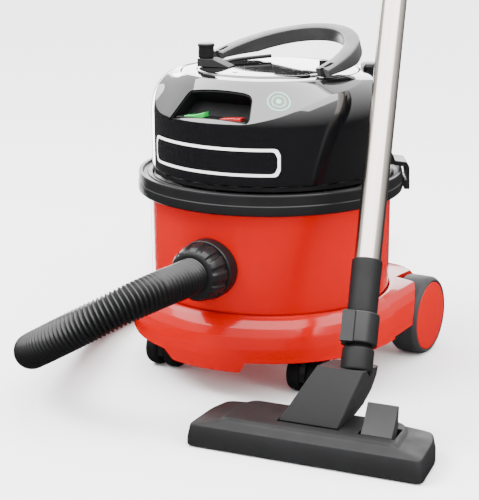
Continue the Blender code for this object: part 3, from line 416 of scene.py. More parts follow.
floor_mat, floor_tree, floor_shader = principled("pale_floor", (0.97, 0.97, 0.97), 0.65)
floor_shader.inputs["Specular IOR Level"].default_value = 0.0
tint(floor_tree, floor_shader, spread(floor_tree, noise(floor_tree, 1.5), 0.0, 1.0),
     (0.97, 0.97, 0.97), (0.96, 0.96, 0.96))
floor_bm = bmesh.new()
bmesh.ops.create_circle(floor_bm, cap_ends=True, radius=30.0, segments=64)
floor = finish_piece(floor_bm, "floor", None, floor_mat)
floor.visible_glossy = False

# ---------- the machine's materials
RED = moulded("red_gloss", (0.345, 0.0003, 0.0001), 0.16, coat=0.04, shade=0.06, gloss=0.15)
GLOSS = moulded("black_gloss", (0.003, 0.003, 0.0035), 0.06, coat=0.5)
SATIN = moulded("black_satin", (0.006, 0.006, 0.0065), 0.36, grain=0.00003, gloss=0.16)
MATT = moulded("black_matt", (0.004, 0.004, 0.0045), 0.60, grain=0.00005, gloss=0.08)
GREY = moulded("charcoal", (0.0175, 0.0175, 0.0180), 0.52, grain=0.00006, gloss=0.12)
BODY_GREY = moulded("tool_charcoal", (0.0088, 0.0088, 0.0091), 0.52, grain=0.00006, gloss=0.10)
SOCKET_GREY = moulded("socket_grey", (0.0050, 0.0050, 0.0053), 0.50, grain=0.00006, gloss=0.10)
HANDLE = moulded("handle_grey", (0.026, 0.026, 0.0265), 0.34, grain=0.00003, gloss=0.40)
SKIRT = moulded("dark_skirt", (0.0070, 0.0070, 0.0075), 0.52, grain=0.00006, gloss=0.10)
RUBBER = moulded("tyre_rubber", (0.020, 0.020, 0.021), 0.60, grain=0.00008, gloss=0.15)
RIBS = moulded("hose_plastic", (0.0034, 0.0034, 0.0037), 0.32, grain=0.00002, gloss=0.24)
WHITE = moulded("white_print", (0.85, 0.85, 0.84), 0.35, shade=0.03)
PANEL = moulded("panel_print", (0.003, 0.003, 0.0035), 0.10, coat=0.4)
MINT = moulded("mint_print", (0.16, 0.46, 0.31), 0.35, shade=0.05)
GREEN = moulded("green_switch", (0.004, 0.42, 0.06), 0.28, coat=0.3)
SWITCH_RED = moulded("red_switch", (0.45, 0.012, 0.010), 0.28, coat=0.3)
CLOTH = woven("filter_weave", (0.80, 0.80, 0.76), 0.0012, 0.0002)
PAPER = woven("bag_paper", (0.60, 0.48, 0.34), 0.0008, 0.0001)
BRISTLE = woven("bristles", (0.035, 0.035, 0.035), 0.0006, 0.0006)
# brushed streaks run along this empty's Z axis, which is set to the wand's below
streak_guide = bpy.data.objects.new("streak_guide", None)
bpy.context.scene.collection.objects.link(streak_guide)
STEEL = brushed("steel_tube", (0.30, 0.270, 0.244), 0.17, streak_guide, (1.0, 1.0, 0.02))
ZINC = brushed("zinc_plate", (0.62, 0.62, 0.63), 0.32, None, (1.0, 0.05, 1.0))
COPPER = brushed("copper_windings", (0.72, 0.36, 0.20), 0.35, None, (1.0, 1.0, 0.1))
# the nodes that show as they are
for node_name, mat in (("dust_bag", PAPER), ("filter_cloth", CLOTH), ("brush_front", BRISTLE),
                       ("brush_rear", BRISTLE), ("rear_axle", ZINC), ("motor_can", ZINC),
                       ("neck_pin", ZINC), ("impeller", ZINC), ("sole_plate", STEEL),
                       ("motor_rotor", COPPER), ("cable_reel", GREY), ("switch_tray", MATT),
                       ("head_plate", MATT), ("fan_housing", MATT),
                       ("axle_bracket_left", MATT), ("axle_bracket_right", MATT)):
    for slot_item in frame["nodes"][node_name].material_slots:
        slot_item.material = mat


# ---------- which body each node rides on
OWNER = {node: body for body, nodes in frame["record"]["behaviour"]["bodies"].items()
         for node in nodes}


def replace(bm, node, mat, *more, sharp=CREASE_ANGLE, local=False):
    """Finishes bm as the piece that stands for a node, named after it."""
    return finish_piece(bm, node + "_skin", OWNER[node], mat, (node, *more), sharp=sharp,
                        local=local)


def polished(node, mat, width, segments=3, angle=30.0):
    """A copy of a flat-sided node with its edges rounded."""
    bm = bmesh.new()
    bm.from_mesh(frame["nodes"][node].data)
    bmesh.ops.remove_doubles(bm, verts=bm.verts, dist=1e-5)
    bmesh.ops.dissolve_limit(bm, angle_limit=math.radians(1.0), verts=bm.verts, edges=bm.edges)
    piece = replace(bm, node, mat, local=True)
    return round_edges(piece, width, segments, angle)


# ---------- hose, its cuff and the collar
HOSE_R, RIB_PITCH, RIB_DEPTH, RIB_STEPS, COIL_STEPS = 0.0230, 0.0056, 0.0031, 6, 24
HOSE_ROUTE = ((0, -0.2040, 0.1685), (0, -0.2286, 0.1686), (-0.0060, -0.2700, 0.1670),
              (-0.0230, -0.3060, 0.1585), (-0.0490, -0.3315, 0.1435), (-0.0810, -0.3450, 0.1250),
              (-0.1150, -0.3450, 0.1055), (-0.1470, -0.3315, 0.0875), (-0.1730, -0.3060, 0.0730),
              (-0.1900, -0.2720, 0.0635), (-0.2075, -0.2160, 0.0545), (-0.2250, -0.1595, 0.0455),
              (-0.2430, -0.1030, 0.0365), (-0.2590, -0.0470, 0.0285), (-0.2680, 0.0100, 0.0242),
              (-0.2700, 0.0650, 0.0233), (-0.2700, 0.1180, 0.0233), (-0.2739, 0.1612, 0.0233),
              (-0.2851, 0.2032, 0.0233), (-0.3035, 0.2427, 0.0233), (-0.3325, 0.2929, 0.0233),
              (-0.3625, 0.3449, 0.0233), (-0.3925, 0.3968, 0.0233), (-0.4226, 0.4489, 0.0233))
COIL_X, COIL_Y, COIL_R = -0.2840, 0.5289, 0.1600
COIL_FROM, COIL_TURN, CUFF_LENGTH = math.radians(210.0), math.radians(275.0), 0.0900
way = list(HOSE_ROUTE)
for k in range(1, COIL_STEPS + 1):
    bearing = COIL_FROM - COIL_TURN * k / COIL_STEPS
    way.append((COIL_X + COIL_R * math.cos(bearing), COIL_Y + COIL_R * math.sin(bearing),
                HOSE_ROUTE[-1][2]))
hose_path = smooth_route(way, RIB_PITCH / RIB_STEPS)
rib_radii = []
for k in range(len(hose_path)):
    phase = (k % RIB_STEPS) / RIB_STEPS
    rib_radii.append(HOSE_R - RIB_DEPTH * (0.5 - 0.5 * math.cos(2 * math.pi * phase)) ** 1.2)
hose = finish_piece(swept(hose_path, rib_radii, segments=36), "hose_skin", "machine", RIBS,
                    ("hose_line", "hose_coil"), sharp=75.0)
last = COIL_FROM - COIL_TURN
end_at = Vector((COIL_X + COIL_R * math.cos(last), COIL_Y + COIL_R * math.sin(last),
                 HOSE_ROUTE[-1][2]))
end_along = Vector((math.sin(last), -math.cos(last), 0))
CUFF_STEPS = ((0.0, 0.0222), (0.01, 0.0230), (0.07, 0.0230), (0.09, 0.0221), (0.11, 0.0229),
              (0.16, 0.0229), (0.18, 0.0220), (0.20, 0.0228), (0.26, 0.0227), (0.30, 0.0215),
              (0.46, 0.0205), (0.50, 0.0182), (0.97, 0.0172), (1.0, 0.0166))
cuff = replace(swept([end_at + end_along * f * CUFF_LENGTH for f, r in CUFF_STEPS],
                     [r for f, r in CUFF_STEPS], [0.0160] * len(CUFF_STEPS), 64),
               "hose_cuff", SATIN)

INLET_Z, INLET_R, INLET_BORE, DRUM_R = 0.1685, 0.0385, 0.0215, 0.1606


GRIP_COUNT, GRIP_DEPTH, GRIP_SINK = 12, 0.0013, 0.0004
GRIP_ROWS = range(8, 22)  # the collar profile's points between its rim and its nose


def grip(angle, index):
    """Flat-topped grips round the collar, with narrow grooves between them."""
    if index not in GRIP_ROWS:
        return 0.0
    return GRIP_DEPTH * math.tanh(4.0 * math.cos(GRIP_COUNT * angle) + 1.5) - GRIP_SINK


collar_profile = soften([(0.0215, 0.0), (0.0350, 0.0), (0.0366, 0.0030), (0.0362, 0.0080),
                         (0.0338, 0.0195), (0.0305, 0.0262), (0.0262, 0.0279), (0.0215, 0.0279)],
                        0.0016, on_axis=False)
replace(turned([(r, -h) for r, h in collar_profile], (0, -0.1754, INLET_Z), "Y", 288, grip),
        "hose_collar", SATIN, sharp=50.0)
flange = replace(turned(soften([(0, -0.0160), (INLET_R - 0.0010, -0.0160), (INLET_R, -0.0145),
                                (INLET_R, 0.0130), (0, 0.0130)], 0.0012),
                        (0, -0.1590, INLET_Z), "Y", 96), "inlet_housing", SATIN)
carve(flange, cutter(turned([(0, -0.06), (DRUM_R + 0.0003, -0.06), (DRUM_R + 0.0003, 0.06),
                             (0, 0.06)], (0, 0, INLET_Z), "Z", 192)))
carve(flange, cutter(turned([(0, -0.0120), (0.0243, -0.0120), (0.0243, 0.0440), (0, 0.0440)],
                            (0, -0.1590, INLET_Z), "Y", 64)), "UNION")
carve(flange, cutter(turned([(0, -0.05), (INLET_BORE, -0.05), (INLET_BORE, 0.08), (0, 0.08)],
                            (0, -0.1590, INLET_Z), "Y", 64)))

# ---------- dolly, wheels and castors
ROUND_STEPS = 288
DOLLY_R, DOLLY_HALF, DOLLY_WALL, DOLLY_REAR = 0.1870, 0.1830, 0.0035, 0.1850
DOLLY_CORNER_CUT, CORNER_SHARPNESS, FRONT_LIP_DEGREES = 0.055, 26, 17.5
SKIRT_Z, BUMPER_Z = 0.0560, 0.0400
WHEEL_R, WHEEL_X0, WHEEL_X1, WHEEL_Y = 0.0540, 0.1440, 0.1856, 0.1240


def dolly_plan(bearing):
    """Plan radius of the dolly: round in front, straight-sided beside the rear wheels."""
    x, y = math.sin(bearing), -math.cos(bearing)
    if y <= 0.0:
        return DOLLY_R
    side = DOLLY_HALF / max(abs(x), 1e-6) if abs(x) > 0.5 else 1.0
    corner = (DOLLY_HALF + DOLLY_REAR - DOLLY_CORNER_CUT) / (abs(x) + y)
    limits = (side, DOLLY_REAR / max(y, 1e-6), corner)
    return sum(limit ** -CORNER_SHARPNESS for limit in limits) ** (-1 / CORNER_SHARPNESS)


columns = []
for k in range(ROUND_STEPS):
    bearing = 2 * math.pi * k / ROUND_STEPS - math.pi
    plan = dolly_plan(bearing)
    lip = 0.5 - 0.5 * math.tanh((abs(math.degrees(bearing)) - FRONT_LIP_DEGREES) * 1.2)
    foot, tuck = SKIRT_Z + (BUMPER_Z - SKIRT_Z) * lip, 0.008 * lip
    section = [(0.0, 0.1062), (0.1580, 0.1062), (0.1622, 0.1120), (0.1662, 0.1112),
               (plan - 0.0150, 0.1072), (plan - 0.0080, 0.1000), (plan - 0.0030, 0.0890),
               (plan, 0.0740), (plan - 0.0005, 0.0620), (plan - tuck, foot),
               (plan - DOLLY_WALL - tuck, foot), (plan - DOLLY_WALL, 0.0625),
               (plan - DOLLY_WALL, 0.0740), (plan - 0.0030 - DOLLY_WALL, 0.0870),
               (plan - 0.0100 - DOLLY_WALL, 0.0980), (0.1500, 0.1022), (0.0, 0.1022)]
    columns.append([(r * math.sin(bearing), -r * math.cos(bearing), z)
                    for r, z in soften(section, 0.0014, 3)])


def skin_columns(columns):
    """Skins columns round the Z axis whose first and last points are on the axis."""
    bm = bmesh.new()
    top, bottom = bm.verts.new(columns[0][0]), bm.verts.new(columns[0][-1])
    rows = [[bm.verts.new(point) for point in column[1:-1]] for column in columns]
    for k, here in enumerate(rows):
        there = rows[(k + 1) % len(rows)]
        bm.faces.new((top, there[0], here[0]))
        bm.faces.new((bottom, here[-1], there[-1]))
        for i in range(len(here) - 1):
            bm.faces.new((here[i], there[i], there[i + 1], here[i + 1]))
    return bm


# wheel arches: a round recess and a cut through to the rear, open to the outside
ARCH_R, ARCH_HALF, ARCH_GAP = 0.0575, 0.06, 0.0020
dolly = replace(skin_columns(columns), "chassis", RED)
for side in (-1, 1):
    middle = side * (WHEEL_X0 - ARCH_GAP + ARCH_HALF)
    carve(dolly, cutter(turned([(0, -ARCH_HALF), (ARCH_R, -ARCH_HALF), (ARCH_R, ARCH_HALF),
                                (0, ARCH_HALF)], (middle, WHEEL_Y, WHEEL_R), "X", 96)))
    carve(dolly, cutter(block((0.12, 0.13, 0.10), (middle, WHEEL_Y + 0.0400, 0.1040))))

TYRE_IN, GAP = 0.0476, 0.0003
for side, label in ((-1, "left"), (1, "right")):
    centre = (side * (WHEEL_X0 + WHEEL_X1) / 2, WHEEL_Y, WHEEL_R)
    half = (WHEEL_X1 - WHEEL_X0) / 2
    tyre = [(TYRE_IN, -half + 0.0004), (WHEEL_R - 0.0040, -half), (WHEEL_R, -half + 0.0055),
            (WHEEL_R, half - 0.0055), (WHEEL_R - 0.0040, half), (TYRE_IN, half - 0.0004)]
    replace(turned(soften(tyre, 0.0030, 4, on_axis=False), centre, "X", 128),
            "wheel_tyre_" + label, RUBBER)
    face, back = side * (half - 0.0002), -side * (half - 0.0010)
    hub = [(0.0, face + side * 0.0024), (0.0250, face + side * 0.0018),
           (0.0400, face + side * 0.0006), (TYRE_IN - 0.0012, face - side * 0.0002),
           (TYRE_IN - GAP, face - side * 0.0016), (TYRE_IN - GAP, back), (0.0400, back),
           (0.0390, back + side * 0.0120), (0.0120, back + side * 0.0120), (0.0110, back),
           (0.0053, back), (0.0053, side * 0.0010), (0.0, side * 0.0010)]
    replace(turned(soften(hub, 0.0010), centre, "X", 128), "wheel_hub_" + label, RED)

CASTER_X, CASTER_Y, CASTER_TRAIL, CASTER_R = 0.1080, -0.1080, 0.0160, 0.0250
for side, label in ((-1, "left"), (1, "right")):
    polished("caster_fork_" + label, SATIN, 0.0012)
    half_wheel = soften([(0.0030, 0.0046), (0.0225, 0.0046), (CASTER_R, 0.0080),
                         (CASTER_R, 0.0180), (0.0225, 0.0228), (0.0180, 0.0236), (0.0165, 0.0222),
                         (0.0080, 0.0226), (0.0070, 0.0246), (0.0, 0.0248)], 0.0014)[1:-1]
    mirrored = [(r, -x) for r, x in reversed(half_wheel)]
    twin = [(0.0, -0.0248), *mirrored, *half_wheel, (0.0, 0.0248)]
    replace(turned(twin, (side * CASTER_X, CASTER_Y + CASTER_TRAIL, CASTER_R), "X", 72),
            "caster_wheels_" + label, MATT)

# ---------- drum and band
DRUM_BASE_R, DRUM_WALL, DRUM_Z0, DRUM_Z1 = 0.1600, 0.0030, 0.1068, 0.2660
drum = replace(turned(soften(
    [(0.0, DRUM_Z0), (DRUM_BASE_R - 0.0060, DRUM_Z0), (DRUM_BASE_R - 0.0015, 0.1085),
     (DRUM_BASE_R, 0.1125), (DRUM_R, 0.2420), (DRUM_R, DRUM_Z1), (DRUM_R - DRUM_WALL, DRUM_Z1),
     (DRUM_R - DRUM_WALL, 0.2420), (DRUM_BASE_R - DRUM_WALL, 0.1140),
     (DRUM_BASE_R - 0.0080, 0.1098), (0.0, 0.1098)], 0.0012), segments=256), "drum", RED)
carve(drum, cutter(turned([(0, -0.03), (0.0246, -0.03), (0.0246, 0.03), (0, 0.03)],
                          (0, -DRUM_R, INLET_Z), "Y", 64)))
BAND_R, BAND_Z0, BAND_Z1 = 0.1764, 0.2423, 0.2695
replace(turned(soften([(0.1610, 0.2430), (0.1740, BAND_Z0), (BAND_R, 0.2446), (BAND_R, 0.2550),
                       (BAND_R - 0.0008, 0.2560), (BAND_R - 0.0008, 0.2672), (0.1750, BAND_Z1),
                       (0.1705, BAND_Z1), (0.1690, 0.2650), (0.1640, 0.2650), (0.1630, 0.2676),
                       (0.1574, 0.2676), (0.1574, 0.2662), (0.1610, 0.2662)], 0.0008,
                      on_axis=False), segments=256), "drum_band", SATIN)

# ---------- head
HEAD_R, HEAD_Z0, SHOULDER_Z, RIM_R, RIM_Z = 0.1570, 0.2752, 0.3450, 0.1190, 0.3995
SHOULDER_POWER, SHOULDER_STEPS = 2.15, 12
CREASE_SPAN, CREASE_STEP = 6, 0.7
# height of the crease between the shoulder and the facet, by bearing in degrees from the front
CREASE = ((-100, 0.3985), (-62, 0.3980), (-53, 0.3850), (-46, 0.3660), (-37, 0.3545),
          (-22, 0.3520), (18, 0.3535), (33, 0.3630), (42, 0.3717), (57, 0.3837), (72, 0.3890),
          (88, 0.3950), (100, 0.3985))


def crease_height(degrees):
    """Reading of the crease table, averaged over a few degrees so that its corners are round."""
    total = 0.0
    for shift in range(-CREASE_SPAN, CREASE_SPAN + 1):
        at = degrees + shift * CREASE_STEP
        value = CREASE[-1][1] if at > 0 else CREASE[0][1]
        for (x0, v0), (x1, v1) in zip(CREASE, CREASE[1:]):
            if x0 <= at <= x1:
                value = v0 + (v1 - v0) * (at - x0) / (x1 - x0)
        total += value
    return min(total / (2 * CREASE_SPAN + 1), RIM_Z - 0.0004)


def head_section(bearing):
    """Outside of the head at a bearing: wall, shoulder up to the crease, then the flat facet."""
    power = 2.0 / SHOULDER_POWER
    rise = (crease_height(math.degrees(bearing)) - SHOULDER_Z) / (RIM_Z - SHOULDER_Z)
    last = math.asin(max(0.0, rise) ** (1 / power))
    line = [(HEAD_R - 0.0012, HEAD_Z0), (HEAD_R, HEAD_Z0 + 0.0015), (HEAD_R, 0.3100)]
    for k in range(SHOULDER_STEPS + 1):
        t = last * k / SHOULDER_STEPS
        line.append((RIM_R + (HEAD_R - RIM_R) * math.cos(t) ** power,
                     SHOULDER_Z + (RIM_Z - SHOULDER_Z) * math.sin(t) ** power))
    r0, z0 = line[-1]
    below = Vector(line[-2])
    rim = Vector((RIM_R, RIM_Z))
    crease = Vector((r0, z0))
    span = (rim - crease).length
    reach = min(0.0016, span * 0.3)
    start = crease + (below - crease).normalized() * min(reach, (below - crease).length * 0.45)
    end = crease + (rim - crease).normalized() * reach
    line.pop()
    line.extend(rounded(start, crease, end, 4))
    for f in (0.25, 0.5, 0.75, 0.96):
        line.append(tuple(end.lerp(rim, f)))
    line.append((RIM_R - 0.0008, RIM_Z + 0.0001))
    return line


def head_columns(inside):
    """Sections of the head all round, each closed by the same inside points."""
    columns = []
    for k in range(ROUND_STEPS):
        bearing = 2 * math.pi * k / ROUND_STEPS - math.pi
        columns.append([(r * math.sin(bearing), -r * math.cos(bearing), z)
                        for r, z in head_section(bearing) + inside])
    return columns


# the window for the switches is cut along the front facet
FACET_Z = 0.3520
slope = Vector((0.0, HEAD_R - RIM_R, RIM_Z - FACET_Z)).normalized()
outward = Vector((1.0, 0.0, 0.0)).cross(slope)
FACET = (Matrix.Translation((0.0, -(HEAD_R + RIM_R) / 2, (FACET_Z + RIM_Z) / 2))
         @ Matrix((Vector((1, 0, 0)), slope, outward)).transposed().to_4x4())
WINDOW = ((-0.0680, -0.0240), (-0.0520, 0.0130), (-0.0470, 0.0180), (0.0330, 0.0180),
          (0.0400, 0.0165), (0.0450, 0.0110), (0.0510, -0.0180), (0.0490, -0.0240))
cover = replace(skin(head_columns([(0.1183, RIM_Z - 0.0010), (0.1183, 0.3925), (0.0125, 0.3925),
                                   (0.0125, 0.3885), (0.1140, 0.3885), (0.1535, 0.3490),
                                   (0.1535, HEAD_Z0)]), closed=True), "head_cover", GLOSS)
carve(cover, cutter(prism(soften(WINDOW, 0.0040, 5, on_axis=False), -0.0400, 0.0300, FACET)))

CAP_R, DISC_R, DISC_TOP = 0.1168, 0.0960, 0.4040
replace(turned(soften([(DISC_R + 0.0008, 0.3930), (CAP_R, 0.3930), (CAP_R, 0.3990),
                       (CAP_R - 0.0015, 0.4004), (0.1050, 0.4014), (DISC_R + 0.0008, 0.4018)],
                      0.0010, on_axis=False), segments=256), "top_cap", GLOSS)
disc = replace(turned(soften([(0, 0.0004), (0.0600, 0.0002), (0.0900, -0.0003),
                              (DISC_R - 0.0008, -0.0014), (DISC_R, -0.0030), (DISC_R, -0.0085),
                              (0.0100, -0.0085), (0.0100, -0.0175), (0, -0.0175)], 0.0012),
                      (0, 0, DISC_TOP), segments=256), "winder_disc", GLOSS)
carve(disc, cutter(turned([(0, -0.006), (0.0031, -0.006), (0.0040, 0.004), (0, 0.004)],
                          (-0.0115, -0.0725, DISC_TOP), segments=48)))

# crank: wedge-shaped base, turned knob with a flared top
KNOB_X, KNOB_Y, CRANK_SKEW = -0.0742, -0.0394, 0.35
toward_middle = math.atan2(-KNOB_Y, -KNOB_X) - CRANK_SKEW
crank_place = (Matrix.Translation((KNOB_X, KNOB_Y, DISC_TOP + GAP))
               @ Matrix.Rotation(toward_middle, 4, "Z") @ Matrix.Rotation(math.pi / 2, 4, "X"))
crank = replace(prism([(-0.0085, 0.0), (0.0360, 0.0), (0.0360, 0.0012), (0.0130, 0.0105),
                       (-0.0075, 0.0105), (-0.0085, 0.0095)], -0.0105, 0.0105, crank_place),
                "crank_base", GREY)
round_edges(crank, 0.0016, 4)
replace(turned(soften([(0.0045, 0.0002), (0.0098, 0.0002), (0.0105, 0.0016), (0.0102, 0.0142),
                       (0.0112, 0.0156), (0.0112, 0.0180), (0.0100, 0.0192), (0, 0.0194),
                       (0, 0.0176), (0.0045, 0.0176)], 0.0007),
               (KNOB_X, KNOB_Y, DISC_TOP + 0.0110), segments=72), "crank_knob", SATIN)


# oval grip plate, latch bar and small latch on the winder disc
def oval(start, end, half, steps=40):
    """Plan outline of an oval between two points."""
    start, end = Vector(start), Vector(end)
    along = end - start
    across = Vector((-along.y, along.x)).normalized()
    out = []
    for k in range(steps):
        t = 2 * math.pi * k / steps
        out.append(tuple(start + along * (0.5 - 0.5 * math.cos(t)) + across * half * math.sin(t)))
    return out


round_edges(finish_piece(prism(oval((0.0400, -0.0640), (0.0830, -0.0460), 0.0115),
                               DISC_TOP - 0.0020, DISC_TOP + 0.0006),
                         "grip_plate", "winder", GLOSS), 0.0006)
LATCH_BAR = ((-0.0650, -0.0140, 0.0012), (-0.0560, 0.0010, 0.0042), (-0.0440, 0.0220, 0.0050),
             (-0.0320, 0.0430, 0.0054), (-0.0270, 0.0510, 0.0056))
bar_path = smooth_route([(x, y, DISC_TOP + lift) for x, y, lift in LATCH_BAR], 0.0015)
finish_piece(swept(bar_path, [0.0026] * len(bar_path), segments=24), "latch_bar", "winder", SATIN)
finish_piece(block((0.0150, 0.0070, 0.0060), (0.0, 0.0, 0.0),
                   Matrix.Translation((0.0560, 0.0480, DISC_TOP + 0.0022))
                   @ Matrix.Rotation(math.radians(25), 4, "Z")), "small_latch", "winder", SATIN)

# ---------- carry handle
HANDLE_YAW, HANDLE_Z, HANDLE_SLOPE = math.radians(-22.3), 0.4092, math.radians(18.4)
HANDLE_HALF, HANDLE_LENGTH = 0.1210, 0.1196
GRIP_HALF, GRIP_LENGTH, GRIP_THICK = 0.0970, 0.1033, 0.0200
FOOT, FOOT_HALF, HOOP_STEPS = 0.0044, 0.0048, 96


def hoop_point(t, half, reach, height):
    """Point of a half ellipse that slopes up from the pivots, raised square to its slope."""
    x, y = half * math.cos(t), reach * math.sin(t)
    return Vector((x, y * math.cos(HANDLE_SLOPE) - height * math.sin(HANDLE_SLOPE),
                   y * math.sin(HANDLE_SLOPE) + height * math.cos(HANDLE_SLOPE)))


# one more ring behind each pivot makes the heel of the foot
hoop = []
for k in range(-1, HOOP_STEPS + 2):
    t = math.pi * min(max(k, 0), HOOP_STEPS) / HOOP_STEPS
    heel = Vector((0, -FOOT * math.cos(HANDLE_SLOPE), -FOOT * math.sin(HANDLE_SLOPE)))
    half = FOOT_HALF + (GRIP_THICK / 2 - FOOT_HALF) * min(1.0, math.sin(t) * 2.2)
    side_band, end_band = HANDLE_HALF - GRIP_HALF, HANDLE_LENGTH - GRIP_LENGTH
    band = side_band + (end_band - side_band) * math.sin(t)
    low = FOOT_HALF - 2 * half
    section = soften([(0.0, low), (0.0, FOOT_HALF), (band, FOOT_HALF), (band, low)], 0.0024, 4,
                     on_axis=False)
    ring = []
    for across, height in section:
        inward = across / band
        point = hoop_point(t, HANDLE_HALF + (GRIP_HALF - HANDLE_HALF) * inward,
                           HANDLE_LENGTH + (GRIP_LENGTH - HANDLE_LENGTH) * inward, height)
        ring.append(point + heel if k in (-1, HOOP_STEPS + 1) else point)
    hoop.append(ring)
hoop_bm = skin(hoop, cap=True)
hoop_place = Matrix.Translation((0, 0, HANDLE_Z)) @ Matrix.Rotation(HANDLE_YAW, 4, "Z")
bmesh.ops.transform(hoop_bm, matrix=hoop_place, verts=hoop_bm.verts)
handle = replace(hoop_bm, "carry_handle", HANDLE)
for side in (-1, 1):
    carve(handle, cutter(block((0.0070, 0.0260, 0.0300), (side * 0.1090, 0, 0), hoop_place)))

# ---------- small flat-sided nodes
for node, mat, width in (("clip_left", SATIN, 0.0007), ("clip_right", SATIN, 0.0007),
                         ("clip_mount_left", SATIN, 0.0005), ("clip_mount_right", SATIN, 0.0005),
                         ("handle_lug_left", SATIN, 0.0006), ("handle_lug_right", SATIN, 0.0006),
                         ("cable_outlet", SATIN, 0.0010), ("switch_module", SATIN, 0.0005),
                         ("switch_green", GREEN, 0.0007), ("switch_red", SWITCH_RED, 0.0007),
                         ("tool_pedal", GREY, 0.0006)):
    polished(node, mat, width)


# ---------- marks and trim on the head
def wall_patch(outline, lift, thick, name, mat):
    """A thin plate on the head's wall: outline in (bearing in degrees, height)."""
    bm = bmesh.new()
    front, back = [], []
    for bearing, z in outline:
        angle = math.radians(bearing)
        for row, radius in ((front, HEAD_R + lift + thick), (back, HEAD_R + lift)):
            row.append(bm.verts.new((radius * math.sin(angle), -radius * math.cos(angle), z)))
    count = len(outline)
    half = count // 2
    for k in range(half - 1):
        mirror = count - 1 - k
        bm.faces.new((front[k], front[k + 1], front[mirror - 1], front[mirror]))
        bm.faces.new((back[k], back[mirror], back[mirror - 1], back[k + 1]))
    for k in range(count):
        after = (k + 1) % count
        bm.faces.new((front[k], back[k], back[after], front[after]))
    return finish_piece(bm, name, "power_head", mat)


LABEL_STEPS = 64


def label_outline(grow):
    """Rounded label running along the wall, as a lower and an upper row of points."""
    low, high, start, end, corner = 0.2925 - grow, 0.3205 + grow, -39.0, 32.0, 0.0080
    start -= math.degrees(grow / HEAD_R)
    end += math.degrees(grow / HEAD_R)
    lower, upper = [], []
    for k in range(LABEL_STEPS + 1):
        bearing = start + (end - start) * k / LABEL_STEPS
        gap = min(bearing - start, end - bearing) * math.radians(1) * HEAD_R
        inset = corner - math.sqrt(max(0.0, corner ** 2 - max(0.0, corner - gap) ** 2))
        lower.append((bearing, low + inset))
        upper.append((bearing, high - inset))
    return lower + upper[::-1]


wall_patch(label_outline(0.0036), 0.00004, 0.0002, "label_border", WHITE)
wall_patch(label_outline(0.0), 0.00024, 0.0002, "label_panel", PANEL)

# a plain round mark on the facet: two rings and a centre dot
MARK_BEARING, MARK_HEAD_R, MARK_SHARE, MARK_STEPS = math.radians(33.0), 0.139, 0.47, 64
# places in head_section's list: before the crease's bend, after it, and the facet's top
BEND_POINT, FACET_POINT, RIM_POINT = -8, -6, -2
mark_section = head_section(MARK_BEARING)
low_point, high_point = Vector(mark_section[BEND_POINT]), Vector(mark_section[RIM_POINT])
slope_2d = (high_point - low_point).normalized()
mark_middle = low_point.lerp(high_point, MARK_SHARE)


def on_facet(x, y, lift):
    """Point of the facet beside the mark's middle: x along the head, y up the slope."""
    bearing = MARK_BEARING + x / MARK_HEAD_R
    section = head_section(bearing)
    low, high = Vector(section[FACET_POINT]), Vector(section[RIM_POINT])
    target = mark_middle.y + y * slope_2d.y
    share = (target - low.y) / (high.y - low.y)
    place = low.lerp(high, share)
    normal = Vector((-(high - low).y, (high - low).x)).normalized()
    normal = normal if normal.y > 0 else -normal
    place += normal * lift
    return (place.x * math.sin(bearing), -place.x * math.cos(bearing), place.y)


def mark_ring(inner, outer, name):
    """A thin raised ring on the facet, between two radii."""
    rings = []
    for k in range(MARK_STEPS):
        t = 2 * math.pi * k / MARK_STEPS
        rings.append([on_facet(r * math.cos(t), r * math.sin(t), h)
                      for r, h in ((inner, -0.0001), (inner, 0.0002), (outer, 0.0002),
                                   (outer, -0.0001))])
    return finish_piece(skin(rings, closed=True), name, "power_head", MINT, sharp=50)


mark_ring(0.0128, 0.0143, "mark_outer_ring")
mark_ring(0.0076, 0.0088, "mark_inner_ring")
mark_ring(0.0002, 0.0034, "mark_dot")


# ---------- wand
TOOL_AT, TOOL_TURN = (0.2076, -0.3106), 0.1032
TUBE_R, TUBE_WALL, TUBE_LENGTH = 0.0160, 0.0009, 0.4850
SOCKET_TOP, WAND_SLOPE = (0.2177, -0.1578, 0.2061), (-0.1690, 0.5930, 1.0)
wand_at = (Matrix.Translation(SOCKET_TOP)
           @ Vector(WAND_SLOPE).normalized().to_track_quat("Z", "Y").to_matrix().to_4x4())
tool_at = Matrix.Translation((*TOOL_AT, 0)) @ Matrix.Rotation(TOOL_TURN, 4, "Z")
streak_guide.matrix_world = Matrix.Translation(AXIS) @ wand_at


def on_wand(bm):
    bmesh.ops.transform(bm, matrix=wand_at, verts=bm.verts)
    return bm


def on_tool(bm):
    bmesh.ops.transform(bm, matrix=tool_at, verts=bm.verts)
    return bm


replace(on_wand(turned(soften([(0.0150, -0.0700), (0.0150, -0.1040), (0.0166, -0.1060),
                               (0.0188, -0.1085), (0.0188, -0.1330), (0.0176, -0.1350),
                               (0.0135, -0.1350), (0.0135, -0.0700)], 0.0012, on_axis=False),
                       segments=96)), "elbow", SOCKET_GREY)
collar = replace(on_wand(turned(soften([(0.0154, -0.1020), (0.0207, -0.1030), (0.0212, -0.1015),
                                        (0.0212, -0.0670), (0.0207, -0.0655),
                                        (0.0154, -0.0655)], 0.0005, on_axis=False),
                                segments=96)), "tube_collar", SATIN)
pad = cutter(on_wand(block((0.0150, 0.0070, 0.0370), (0.0120, 0.0190, -0.0845))))
carve(collar, pad, "UNION")
carve(collar, cutter(on_wand(turned([(0, -0.12), (0.0154, -0.12), (0.0154, -0.05), (0, -0.05)],
                                    segments=96))))
replace(on_wand(turned(soften([(0.0163, -0.0650), (0.0176, -0.0650), (0.0177, -0.0620),
                               (0.0181, -0.0040), (0.0181, -0.0008), (0.0174, 0.0),
                               (0.0163, 0.0)], 0.0005, on_axis=False), segments=96)),
        "wand_socket", SOCKET_GREY)
